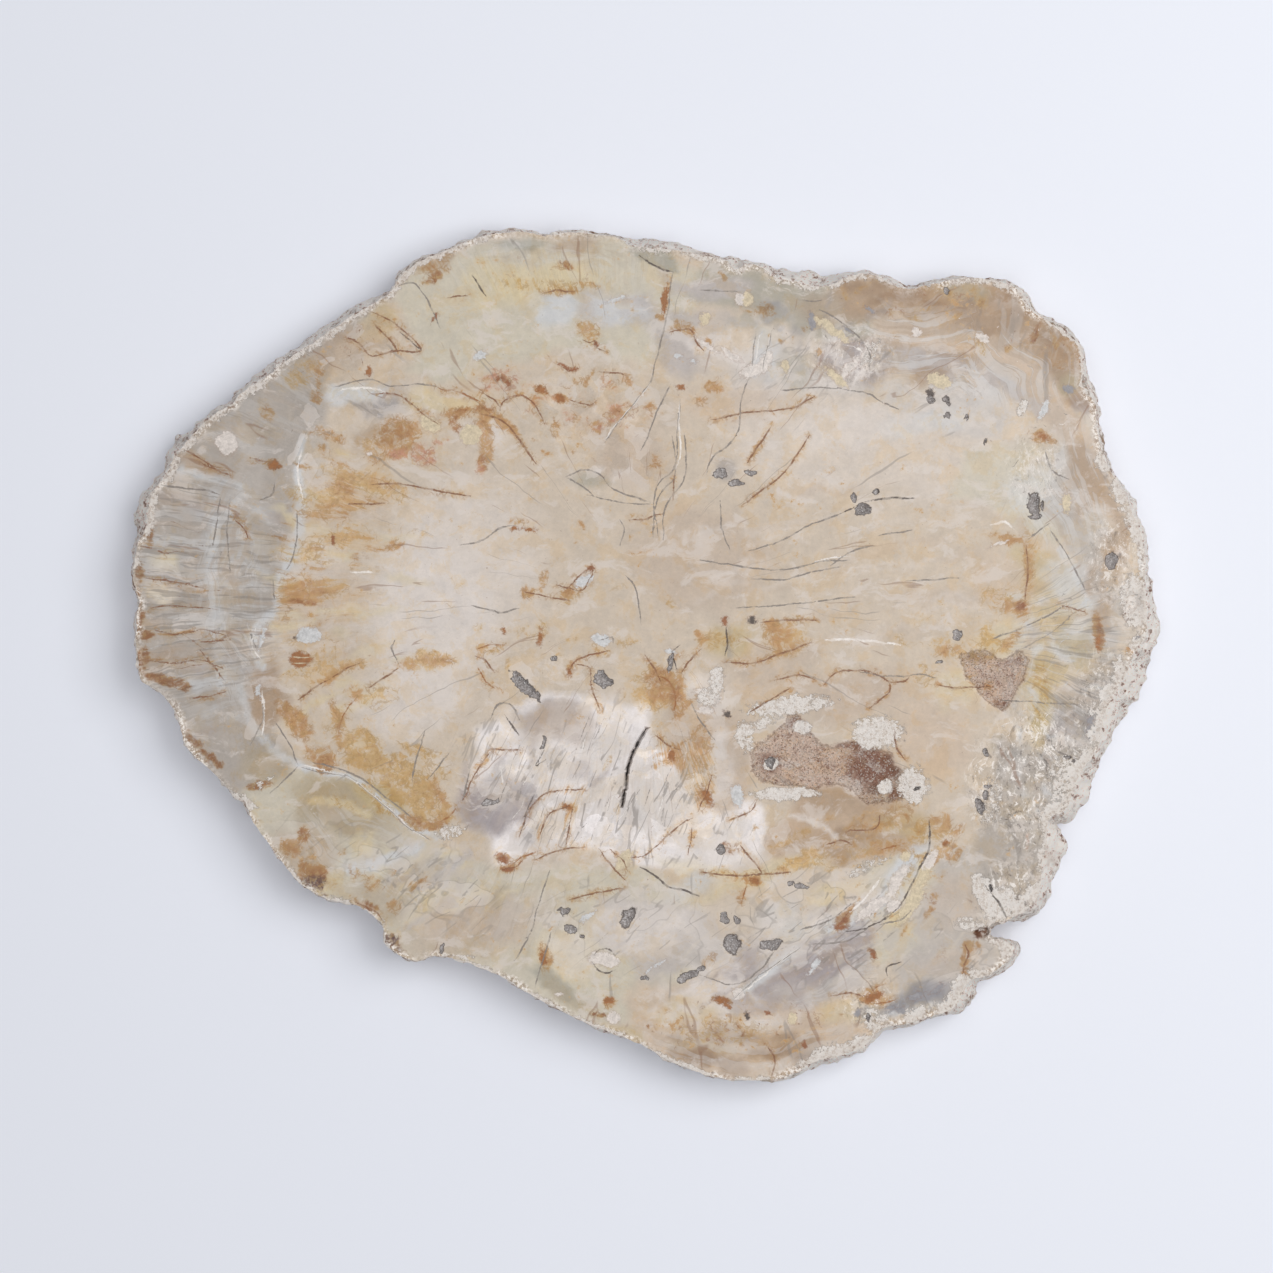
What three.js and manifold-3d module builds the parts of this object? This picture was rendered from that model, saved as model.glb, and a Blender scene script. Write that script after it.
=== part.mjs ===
// Petrified wood slice: a flat, polished cross cut of a fossil trunk with its rough bark edge left on.
// Units are millimetres and +Z is up. The slice lies on its sawn back, the origin at the middle of its foot.

import * as THREE from "three";
import { mergeVertices } from "three/addons/utils/BufferGeometryUtils.js";
import Module from "manifold-3d";

// Driving dimensions

const SLICE_LENGTH = 371;
const SLICE_THICKNESS = 22;

// The bark edge leans: on its low side the foot is tucked in under the polished face
const FOOT_TUCK = 2.2;
const FOOT_TUCK_DIRECTION = new THREE.Vector2(-0.8, -0.6);
const FOOT_INSET = 1.2;

// Share of the wall's full reach at each level, from the polished face down to the foot
const WALL_LEVELS = [
  { height: 1.0, reach: 0.0, tuck: 0.0, roughness: 0.0 },
  { height: 0.93, reach: 0.22, tuck: 0.0, roughness: 0.25 },
  { height: 0.77, reach: 0.62, tuck: 0.12, roughness: 0.8 },
  { height: 0.58, reach: 0.9, tuck: 0.3, roughness: 1.0 },
  { height: 0.4, reach: 1.0, tuck: 0.5, roughness: 1.0 },
  { height: 0.22, reach: 0.93, tuck: 0.72, roughness: 1.0 },
  { height: 0.08, reach: 0.8, tuck: 0.92, roughness: 0.8 },
  { height: 0.0, reach: 0.68, tuck: 1.0, roughness: 0.2 },
];

const SAMPLES_PER_SPAN = 3;
const NORMAL_SPREAD = 3;

// Upright ribs of the bark edge: how many go round, how deep each is, and its turn down the wall
const RIBS = [
  { count: 41, depth: 0.34, turn: 0.6 },
  { count: 67, depth: 0.3, turn: -1.1 },
  { count: 109, depth: 0.26, turn: 1.7 },
  { count: 151, depth: 0.2, turn: -2.3 },
];

// Ledges where layers of the edge have flaked away, in waves down the wall
const LEDGES = [
  { count: 13, waves: 1.5, depth: 0.4 },
  { count: 29, waves: 2.5, depth: 0.34 },
];

// The outline is in the pixels of a picture taken from straight above, and SLICE_LENGTH gives its scale.
// Each row is a corner of the polished face and how far the rough wall reaches out of it there. What lies
// below the face looks smaller in the picture, because it is further from the eye.

const EYE_ABOVE_FACE = 1300;
const PICTURE_LEFT = 128.5;
const PICTURE_RIGHT = 1159.5;
const PICTURE_MIDDLE = new THREE.Vector2(644, 655.5);

const FACE_OUTLINE = [
  // Left edge, upwards from the low corner
  [142, 681, 1], [138, 664, 1.5], [136, 641, 1.5], [137, 616, 3], [139, 600, 3], [134, 584, 3],
  [133, 570, 2.5], [136, 553, 3], [138, 543, 5], [146, 527, 13], [148, 511, 14], [150, 498, 10],
  [158, 485, 7], [167, 474, 8], [173, 459, 7], [183, 446, 9], [192, 436, 8], [203, 424, 6],
  [217, 412, 4], [232, 404, 4],
  // Long straight flank up to the top shoulder
  [241, 393, 5], [254, 385, 7], [270, 374, 8], [287, 360, 8], [309, 345, 7], [331, 330, 7],
  [353, 315, 6], [375, 303, 6], [391, 292, 4], [398, 279, 3], [412, 266, 4], [431, 256, 3],
  [455, 247, 3], [476, 238, 3], [500, 233, 3],
  // Top edge, left to right
  [528, 232, 3], [545, 236, 3], [560, 233, 2], [592, 234, 2], [619, 238, 3], [631, 246, 8],
  [652, 248, 9], [676, 250, 7], [697, 254, 4], [715, 258, 3], [727, 261, 5], [735, 270, 11],
  [746, 264, 5], [762, 267, 5], [774, 277, 9], [793, 281, 12], [812, 286, 14], [830, 285, 11],
  [846, 277, 5], [865, 273, 3], [885, 280, 6], [905, 289, 6], [928, 285, 4], [950, 280, 3],
  [972, 278, 3], [998, 281, 3],
  // Brown shoulder at the top right
  [1014, 287, 4], [1022, 296, 6], [1030, 309, 6], [1045, 319, 5], [1060, 329, 5], [1073, 340, 5],
  [1080, 350, 5], [1083, 366, 5], [1082, 382, 9], [1088, 394, 8], [1096, 404, 4], [1096, 417, 4],
  [1098, 434, 5], [1103, 455, 5], [1111, 472, 4], [1120, 485, 4],
  // Right edge, down to the crumbling corner
  [1128, 500, 4], [1134, 516, 5], [1140, 531, 6], [1144, 550, 4], [1145, 570, 4], [1145, 585, 7],
  [1146, 603, 10], [1147, 620, 12], [1146, 636, 13], [1138, 647, 18], [1132, 658, 20],
  [1127, 672, 21], [1119, 685, 22], [1114, 694, 23], [1108, 706, 20], [1103, 718, 19],
  [1101, 733, 12], [1098, 748, 8], [1087, 764, 14], [1077, 780, 17], [1071, 797, 16],
  [1064, 811, 14], [1050, 818, 12], [1047, 829, 16], [1047, 845, 20], [1042, 862, 20],
  [1041, 883, 13], [1037, 898, 12], [1028, 909, 10], [1014, 917, 6],
  // Notch in the low right edge
  [1003, 922, 2], [991, 928, 1], [991, 935, 1], [1002, 940, 2], [1012, 946, 6], [1011, 958, 7],
  [1000, 967, 7], [986, 976, 6], [973, 979, 8], [964, 988, 13], [959, 1000, 13], [951, 1010, 6],
  [932, 1016, 3], [906, 1024, 3], [886, 1027, 4],
  // Low edge, right to left
  [874, 1035, 5], [866, 1045, 4], [849, 1053, 5], [829, 1058, 6], [811, 1063, 7], [798, 1072, 4],
  [780, 1079, 2], [753, 1080, 2], [713, 1077, 2], [693, 1070, 2], [669, 1061, 2], [641, 1044, 2],
  [603, 1030, 2], [564, 1012, 2], [524, 991, 2], [507, 979, 1], [476, 966, 1], [452, 958, 1],
  [431, 956, 1], [417, 961, 1], [401, 956, 1],
  // Long undercut flank back to the low left corner
  [385, 942, 1], [383, 927, 1], [372, 914, 1], [353, 904, 1], [333, 901, 1], [304, 887, 1],
  [291, 873, 1], [279, 857, 1], [253, 822, 1], [244, 801, 2], [236, 797, 1], [221, 780, 1],
  [191, 752, 1], [183, 740, 1], [179, 719, 1], [169, 703, 1], [162, 694, 1], [151, 687, 1],
];

// Open pits: a place in the same picture, then length, width and depth in millimetres and a turn in degrees
const PITS = [
  { name: "edge vug", place: [1132, 604], length: 11.5, width: 6.6, depth: 8, turn: -75 },
  { name: "notch hollow", place: [999, 930], length: 9, width: 6, depth: 12, turn: 25 },
  { name: "round knot hole", place: [1111, 563], length: 5, width: 4.4, depth: 2.2, turn: 0 },
  { name: "grey crystal pocket", place: [864, 509], length: 6, width: 4, depth: 1.8, turn: 30 },
  { name: "dark crystal pocket", place: [526, 686], length: 15, width: 3.4, depth: 1.2, turn: -38 },
  { name: "small crystal pocket", place: [603, 681], length: 5, width: 4, depth: 1.2, turn: 20 },
  { name: "upper pit", place: [931, 397], length: 3.6, width: 2.4, depth: 1.6, turn: 90 },
  { name: "upper pit pair", place: [949, 404], length: 6, width: 1.6, depth: 1.4, turn: -85 },
  { name: "green crystal pocket", place: [1034, 504], length: 8, width: 3, depth: 1.8, turn: -80 },
  { name: "low grey pocket", place: [628, 918], length: 6, width: 4.4, depth: 2, turn: 40 },
  { name: "ring pocket", place: [604, 961], length: 10, width: 6.6, depth: 2, turn: -25 },
  { name: "lower pit", place: [690, 977], length: 7, width: 3.4, depth: 1.8, turn: 35 },
  { name: "twin pocket", place: [731, 944], length: 8, width: 6, depth: 2, turn: 60 },
  { name: "blue pocket", place: [771, 944], length: 5.6, width: 3.4, depth: 1.6, turn: 0 },
  { name: "brown notch pit", place: [721, 850], length: 4.6, width: 3.2, depth: 2, turn: -40 },
  { name: "sand pocket", place: [870, 772], length: 22, width: 16, depth: 0.9, turn: -30 },
  { name: "black pit", place: [918, 790], length: 3.4, width: 2, depth: 2.4, turn: 10 },
  { name: "right chain pit", place: [978, 806], length: 5, width: 2.4, depth: 2.2, turn: 60 },
  { name: "right crack pit", place: [990, 887], length: 3.4, width: 1.4, depth: 2.6, turn: 90 },
];

// The long open crack is a chain of narrow cuts along its path
const CRACK_PATH = [[645, 731], [634, 750], [626, 779], [621, 806]];
const CRACK_WIDTH = 1.1;
const CRACK_DEPTH = 2.4;

const PIT_SIDES = 9;
const PIT_RISE = 1;

const MM_PER_PIXEL = SLICE_LENGTH / (PICTURE_RIGHT - PICTURE_LEFT);

function toMillimetres([pictureX, pictureY]) {
  return new THREE.Vector2(
    (pictureX - PICTURE_MIDDLE.x) * MM_PER_PIXEL,
    (PICTURE_MIDDLE.y - pictureY) * MM_PER_PIXEL,
  );
}

// The face's outline as a closed loop of places, anticlockwise from above, each with its reach and normal
function faceLoop() {
  const corners = FACE_OUTLINE.toReversed().map(([pictureX, pictureY, reach]) => {
    const place = toMillimetres([pictureX, pictureY]);
    return new THREE.Vector3(place.x, place.y, reach * MM_PER_PIXEL);
  });
  const curve = new THREE.CatmullRomCurve3(corners, true, "centripetal");
  const count = corners.length * SAMPLES_PER_SPAN;
  const samples = [];
  for (let i = 0; i < count; i += 1) {
    samples.push(curve.getPoint(i / count));
  }
  return samples.map((sample, i) => {
    const before = samples[(i - NORMAL_SPREAD + count) % count];
    const after = samples[(i + NORMAL_SPREAD) % count];
    const normal = new THREE.Vector2(after.y - before.y, before.x - after.x).normalize();
    return { place: new THREE.Vector2(sample.x, sample.y), reach: sample.z, normal };
  });
}

// How far the wall is pushed out by its ribs and ledges, for a share of the way round and a height share
function wallRoughness(around, height) {
  const angle = 2 * Math.PI * around;
  let push = 0;
  for (const rib of RIBS) {
    push += rib.depth * Math.sin(rib.count * angle + rib.turn * height * Math.PI);
  }
  for (const ledge of LEDGES) {
    const wave = Math.sin(2 * Math.PI * ledge.waves * height + 3 * Math.sin(ledge.count * angle));
    push += ledge.depth * Math.sign(wave) * Math.sqrt(Math.abs(wave));
  }
  return push;
}

function wallPoint(sample, around, level) {
  const tuckShare = Math.max(0, sample.normal.dot(FOOT_TUCK_DIRECTION));
  const inset = FOOT_TUCK * tuckShare * level.tuck + FOOT_INSET * (1 - tuckShare) * level.tuck;
  const rough = wallRoughness(around, level.height) * level.roughness;
  const outward = sample.reach * level.reach - inset + rough * (0.5 + 0.5 * Math.min(1, sample.reach / 3));
  const place = sample.place.clone().addScaledVector(sample.normal, outward);
  const z = level.height * SLICE_THICKNESS;
  place.multiplyScalar(1 + (SLICE_THICKNESS - z) / EYE_ABOVE_FACE);
  return new THREE.Vector3(place.x, place.y, z);
}

// A closed body lofted through the wall's levels, with the face and the foot as its two ends
function sliceBlank() {
  const loop = faceLoop();
  const count = loop.length;
  const rings = WALL_LEVELS.map((level) => loop.map((sample, i) => wallPoint(sample, i / count, level)));
  const positions = rings.flat().flatMap((point) => [point.x, point.y, point.z]);
  const index = bandIndex(rings.length, count);
  for (const [a, b, c] of THREE.ShapeUtils.triangulateShape(planOf(rings[0]), [])) {
    index.push(a, b, c);
  }
  const footStart = (rings.length - 1) * count;
  for (const [a, b, c] of THREE.ShapeUtils.triangulateShape(planOf(rings.at(-1)), [])) {
    index.push(footStart + a, footStart + c, footStart + b);
  }
  return closedGeometry(positions, index);
}

function planOf(ring) {
  return ring.map((point) => new THREE.Vector2(point.x, point.y));
}

// Triangles of the bands between rings of equal count, the first ring on top
function bandIndex(ringCount, sides) {
  const index = [];
  for (let ring = 0; ring < ringCount - 1; ring += 1) {
    for (let side = 0; side < sides; side += 1) {
      const next = (side + 1) % sides;
      const upper = ring * sides;
      const lower = upper + sides;
      index.push(upper + side, lower + side, lower + next);
      index.push(upper + side, lower + next, upper + next);
    }
  }
  return index;
}

function closedGeometry(positions, index) {
  const geometry = new THREE.BufferGeometry();
  geometry.setAttribute("position", new THREE.Float32BufferAttribute(positions, 3));
  geometry.setIndex(index);
  return geometry;
}

// A rough bowl, open upwards past the face: a wider rim, a waist and a blunt floor
function pitCutter({ place, length, width, depth, turn }, seed) {
  const levels = [
    { z: PIT_RISE, share: 1.0 },
    { z: 0, share: 1.0 },
    { z: -0.55 * depth, share: 0.8 },
    { z: -depth, share: 0.34 },
  ];
  const middle = toMillimetres(place);
  const positions = [];
  for (const level of levels) {
    for (let side = 0; side < PIT_SIDES; side += 1) {
      const angle = (2 * Math.PI * side) / PIT_SIDES;
      const uneven = 1 + 0.17 * Math.sin(2.3 * side + 1.7 * seed) + 0.08 * Math.sin(4.1 * side + seed);
      const corner = new THREE.Vector2(
        0.5 * length * level.share * uneven * Math.cos(angle),
        0.5 * width * level.share * uneven * Math.sin(angle),
      ).rotateAround(new THREE.Vector2(), THREE.MathUtils.degToRad(turn));
      positions.push(middle.x + corner.x, middle.y + corner.y, SLICE_THICKNESS + level.z);
    }
  }
  return closedGeometry(positions, stackIndex(levels.length, PIT_SIDES));
}

// The bands of a stack of rings, closed by a fan at each end
function stackIndex(ringCount, sides) {
  const index = bandIndex(ringCount, sides);
  const last = (ringCount - 1) * sides;
  for (let side = 1; side < sides - 1; side += 1) {
    index.push(0, side, side + 1);
    index.push(last, last + side + 1, last + side);
  }
  return index;
}

// The open crack as one thin wedge whose plan follows the crack's path
function crackCutter() {
  const path = CRACK_PATH.map(toMillimetres);
  const rings = [];
  path.forEach((point, i) => {
    const before = path[Math.max(0, i - 1)];
    const after = path[Math.min(path.length - 1, i + 1)];
    const across = after.clone().sub(before).normalize().rotateAround(new THREE.Vector2(), Math.PI / 2);
    const isTip = i === 0 || i === path.length - 1;
    const halfWidth = 0.5 * CRACK_WIDTH * (isTip ? 0.35 : 1);
    const depth = CRACK_DEPTH * (isTip ? 0.4 : 1);
    const left = point.clone().addScaledVector(across, halfWidth);
    const right = point.clone().addScaledVector(across, -halfWidth);
    rings.push([
      [left.x, left.y, SLICE_THICKNESS + PIT_RISE],
      [left.x, left.y, SLICE_THICKNESS],
      [point.x, point.y, SLICE_THICKNESS - depth],
      [right.x, right.y, SLICE_THICKNESS],
      [right.x, right.y, SLICE_THICKNESS + PIT_RISE],
    ]);
  });
  return closedGeometry(rings.flat(2), stackIndex(rings.length, rings[0].length));
}

function toSolid(wasm, geometry) {
  const merged = mergeVertices(geometry);
  const mesh = new wasm.Mesh({
    numProp: 3,
    vertProperties: new Float32Array(merged.attributes.position.array),
    triVerts: new Uint32Array(merged.index.array),
  });
  return new wasm.Manifold(mesh);
}

function toGeometry(solid) {
  const mesh = solid.getMesh();
  return closedGeometry(Array.from(mesh.vertProperties), Array.from(mesh.triVerts));
}

function carvedSlice(wasm) {
  let solid = toSolid(wasm, sliceBlank());
  PITS.forEach((pit, seed) => {
    solid = solid.subtract(toSolid(wasm, pitCutter(pit, seed)));
  });
  solid = solid.subtract(toSolid(wasm, crackCutter()));
  const geometry = toGeometry(solid);
  geometry.computeBoundingBox();
  const middle = geometry.boundingBox.getCenter(new THREE.Vector3());
  geometry.translate(-middle.x, -middle.y, -geometry.boundingBox.min.z);
  return geometry;
}

const wasm = await Module();
wasm.setup();

const stone = new THREE.MeshStandardMaterial({ color: 0xcdc0b2, roughness: 0.42, metalness: 0 });
const slice = new THREE.Mesh(carvedSlice(wasm), stone);
slice.name = "petrified_wood_slice";

const model = new THREE.Group();
model.add(slice);

export default model;
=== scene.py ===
"""A polished slice of petrified wood in its CAD frame: crystal pockets, floor, lights and camera."""
import math

import bmesh
import bpy
import numpy as np
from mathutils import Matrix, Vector, kdtree, noise
from mathutils.geometry import delaunay_2d_cdt


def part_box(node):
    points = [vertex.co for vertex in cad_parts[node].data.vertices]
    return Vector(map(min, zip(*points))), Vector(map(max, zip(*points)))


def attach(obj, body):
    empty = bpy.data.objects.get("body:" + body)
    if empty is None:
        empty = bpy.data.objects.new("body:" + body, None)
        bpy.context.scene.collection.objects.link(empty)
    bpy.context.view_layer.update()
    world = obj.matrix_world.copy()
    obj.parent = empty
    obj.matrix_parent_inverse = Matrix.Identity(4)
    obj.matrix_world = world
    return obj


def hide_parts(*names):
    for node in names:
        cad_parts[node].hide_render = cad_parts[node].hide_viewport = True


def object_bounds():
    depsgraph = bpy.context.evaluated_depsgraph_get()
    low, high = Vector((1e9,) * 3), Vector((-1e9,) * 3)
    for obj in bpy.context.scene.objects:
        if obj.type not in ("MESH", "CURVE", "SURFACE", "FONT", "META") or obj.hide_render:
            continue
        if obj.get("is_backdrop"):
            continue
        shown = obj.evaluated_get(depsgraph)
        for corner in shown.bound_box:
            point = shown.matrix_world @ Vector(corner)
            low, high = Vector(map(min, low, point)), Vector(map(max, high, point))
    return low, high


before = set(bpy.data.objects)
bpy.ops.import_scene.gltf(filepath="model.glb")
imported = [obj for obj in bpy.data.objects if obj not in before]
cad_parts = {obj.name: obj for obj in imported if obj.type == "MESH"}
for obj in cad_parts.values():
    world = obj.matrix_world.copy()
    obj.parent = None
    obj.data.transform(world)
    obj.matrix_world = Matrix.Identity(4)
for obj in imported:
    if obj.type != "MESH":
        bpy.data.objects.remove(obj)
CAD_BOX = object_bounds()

bl_info = {
    "name": "Petrified wood slice",
    "version": (1, 0, 0),
    "blender": (4, 5, 0),
    "location": "3D View > Sidebar > Stone",
    "description": "Builds a polished slice of petrified wood with its crumbly edge and crystal pockets",
    "category": "Add Mesh",
}

NODE = "petrified_wood_slice"
BODY = "root"
STONE_PIECE = "petrified_stone"
CRYSTAL_PIECE = "pocket_crystals"

# Finishes, in display red, green and blue from 0 to 255.
PALETTE = {
    "core": (208, 192, 173),
    "core_pale": (217, 204, 191),
    "cream": (216, 203, 186),
    "shell_white": (224, 214, 206),
    "tan_core": (198, 179, 160),
    "ring_grey": (178, 168, 158),
    "ring_pale": (192, 183, 174),
    "olive_pale": (206, 197, 178),
    "olive": (178, 161, 133),
    "lilac": (189, 180, 175),
    "lilac_deep": (162, 151, 152),
    "tan": (178, 153, 128),
    "tan_deep": (152, 122, 94),
    "peach": (206, 184, 162),
    "yellow_cream": (218, 200, 160),
    "yellow_olive": (196, 174, 124),
    "grey_green": (168, 163, 149),
    "blue_grey": (148, 145, 148),
    "bluish_white": (209, 209, 209),
    "bark_white": (255, 248, 240),
    "net_white": (247, 240, 238),
    "chalk": (250, 243, 236),
    "chalk_grey": (206, 198, 191),
    "bark_tan": (188, 162, 136),
    "ochre_pale": (207, 172, 122),
    "ochre": (186, 139, 88),
    "ochre_deep": (158, 102, 54),
    "gold": (197, 160, 104),
    "straw": (214, 198, 168),
    "rust": (148, 94, 58),
    "rust_pink": (196, 138, 112),
    "umber": (112, 74, 54),
    "purple_brown": (92, 58, 58),
    "sand": (212, 186, 168),
    "sand_brown": (140, 102, 86),
    "vein_grey": (134, 125, 118),
    "vein_brown": (134, 90, 60),
    "vein_dark": (80, 68, 62),
    "pocket": (160, 153, 150),
    "black": (44, 38, 36),
    "quartz": (206, 203, 202),
    "floor": (244, 247, 255),
}

# The photo's pixels are the ruler for every marking: the face's edge reaches from these columns and rows.
FACE_LEFT = 133
FACE_RIGHT = 1147
FACE_TOP = 232
FACE_BOTTOM = 1080
PICTURE_SIZE = 1273
MILLIMETRE = 0.001

# Seeds of the random draws, each used for one thing.
STROKE_SEED = 41
SCATTER_SEED = 23
GRID_SEED = 17

# Reading the CAD solid: how upright a flat face's normal is, then metres of slack for its level, for
# welding its corners and for keeping the wall's relief clear of both faces.
FLAT_NORMAL = 0.999
LEVEL = 1e-5
WELD = 2e-6
EDGE_GAP = 0.00015

# Sizes in millimetres of the wall's ribs, of its crumbs and of the chips along its edges.
RIB_WIDTH = 5.0
RIB_HEIGHT = 22.0
CRUMB_SIZE = 2.6
CHIP_SIZE = 1.8

# Mesh of the faces in pixels: how far lines keep from the rim and from each other, the grid's unevenness
# and step between rows as shares of its spacing, the widest spot with finer mesh, and the gap that the
# triangles close. Edges sharper than the angle stay sharp.
RIM_GAP = 1.6
VEIN_CLEAR = 0.7
GRID_JITTER = 0.28
ROW_STEP = 0.866
FINE_SPOT_LIMIT = 14
CDT_GAP = 1e-4
SHARP_ANGLE = math.radians(48)

# Thin lines in pixels: the step along them and how far they stray, then a short stroke's count of steps.
VEIN_STEP = 3.2
VEIN_WANDER = 1.1
STROKE_STEPS = 4

# The wood's rays run from two middles: column, row and mean length in millimetres. The right one rules
# past the column of the divide.
RAY_CENTRES = ((640, 590, 150), (955, 640, 55))
RAY_DIVIDE = 975

# Borders of the patches in pixels: sizes of their broad and close waves and how far these push them, the
# softness of spots and sand, the step along ribbons, and where chalk at the rim fades along its path.
BROAD_WAVE = 52
CLOSE_WAVE = 13
BROAD_DRIFT = 13
CLOSE_DRIFT = 4
SPOT_EDGE = 2.6
SAND_BORDER = 8
RIBBON_STEP = 8
RIM_SEARCH = 30

# Lines with a rusty halo, its reach in pixels and its strength.
WARM_VEINS = ("vein_brown", "ochre_deep", "rust")
HALO_REACH = 7
HALO_STRENGTH = 0.45

# Crystals stand where a pocket is deeper than this in metres and has more than this share. Each is a
# six-sided point with a random lean and turn in radians.
DRUSE_DEPTH = 0.0007
DRUSE_SHARE = 0.7
POINT_SIDES = 6
POINT_LEAN = 0.7
POINT_TURN = 3.1

# Traits that the material reads, the lie of the net's and the slanting grain, and its relief in metres.
TRAIT_NAMES = ("grain", "band", "crackle", "fleck", "net", "slant", "broken", "sand", "chalk", "pocket")
NET_TURN = math.radians(68)
SLANT_TURN = math.radians(36)
BUMP_DEPTH = 0.0013

# Tints that warm or cool the ground, the sky's colour, the floor's roughness, and for the camera the
# film's width in millimetres, its height over the face and how far it sees in metres.
WARM_GLAZE = (1.0, 0.93, 0.81)
COOL_GLAZE = (0.93, 0.945, 0.97)
SKY_COLOUR = (0.97, 0.97, 1.0, 1.0)
PAPER_ROUGHNESS = 0.9
FILM_WIDTH = 36
EYE_HEIGHT = 1.3
EYE_REACH = 10

# Broad zones of ground colour: tint, width of the soft border in pixels, strength, outline in pixels.
ZONES = (
    ("ring_grey", 16, 1.0, (400, 300, 345, 345, 333, 387, 322, 424, 298, 449, 298, 479, 300, 508,
        293, 546, 282, 570, 272, 607, 252, 625, 258, 655, 256, 690, 264, 720, 280, 742, 298, 766, 270, 795,
        235, 810, 170, 745, 110, 680, 110, 480, 170, 400, 290, 300, 390, 260)),
    ("olive_pale", 14, 0.9, (395, 300, 440, 255, 520, 235, 640, 240, 700, 270, 690, 330, 640, 372,
        600, 352, 560, 352, 480, 362, 440, 383, 400, 372, 425, 350)),
    ("core_pale", 20, 0.8, (690, 330, 780, 335, 830, 385, 900, 405, 1000, 395, 1030, 430, 1020, 520,
        900, 490, 790, 500, 740, 470, 730, 400)),
    ("chalk_grey", 12, 0.75, (770, 345, 830, 372, 880, 380, 960, 372, 1000, 392, 1005, 430, 950, 440,
        900, 405, 850, 392, 780, 388)),
    ("olive_pale", 14, 0.8, (1000, 440, 1045, 455, 1062, 500, 1050, 540, 1010, 515, 950, 497, 960, 455)),
    ("grey_green", 12, 0.8, (700, 255, 780, 280, 860, 290, 880, 330, 862, 352, 820, 345, 780, 330,
        690, 300)),
    ("tan", 14, 1.0, (845, 283, 900, 276, 1000, 270, 1090, 330, 1105, 400, 1062, 405, 1030, 360, 985, 335,
        900, 322, 848, 318)),
    ("tan_core", 12, 0.95, (880, 322, 985, 330, 1035, 362, 1075, 410, 1110, 480, 1140, 545, 1118, 548,
        1080, 480, 1050, 430, 1010, 398, 960, 372, 885, 368)),
    ("ring_pale", 12, 0.9, (1046, 440, 1064, 450, 1090, 505, 1110, 545, 1122, 600, 1118, 665, 1095, 660,
        1085, 590, 1062, 545, 1040, 500)),
    ("yellow_olive", 16, 0.55, (1022, 540, 1062, 560, 1090, 600, 1090, 650, 1060, 690, 1060, 745,
        1030, 745, 1022, 700, 1030, 640, 1018, 590)),
    ("ring_grey", 14, 0.9, (1060, 690, 1095, 655, 1130, 660, 1110, 745, 1070, 840, 1040, 905, 1000, 930,
        970, 870, 985, 800, 995, 740, 1035, 745)),
    ("net_white", 14, 0.9, (480, 735, 530, 700, 640, 705, 655, 745, 720, 760, 760, 800, 765, 850,
        700, 872, 640, 862, 600, 848, 540, 855, 500, 862, 470, 800)),
    ("tan_core", 16, 0.95, (660, 700, 720, 720, 760, 715, 750, 790, 720, 820, 690, 800, 680, 760)),
    ("bark_tan", 14, 0.9, (800, 795, 850, 790, 900, 805, 925, 815, 925, 850, 880, 865, 830, 860, 770, 872,
        760, 840, 790, 815)),
    ("olive_pale", 14, 0.9, (300, 770, 350, 782, 440, 842, 520, 868, 640, 865, 700, 900, 720, 940,
        690, 1010, 600, 1030, 500, 985, 380, 960, 300, 900, 235, 800)),
    ("lilac", 14, 0.75, (600, 895, 700, 905, 735, 930, 800, 945, 850, 930, 870, 940, 860, 990, 800, 1005,
        735, 1000, 690, 975, 640, 985, 600, 950)),
    ("peach", 14, 0.8, (640, 985, 700, 985, 760, 1000, 860, 995, 880, 1030, 800, 1075, 700, 1075,
        640, 1045, 620, 1005)),
    ("ring_pale", 14, 0.85, (890, 905, 930, 870, 975, 830, 1000, 930, 1010, 960, 960, 1000, 890, 1025,
        895, 960)),
    ("olive_pale", 12, 0.8, (860, 870, 925, 850, 935, 880, 905, 925, 920, 945, 880, 965, 865, 950,
        880, 925)),
)

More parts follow.
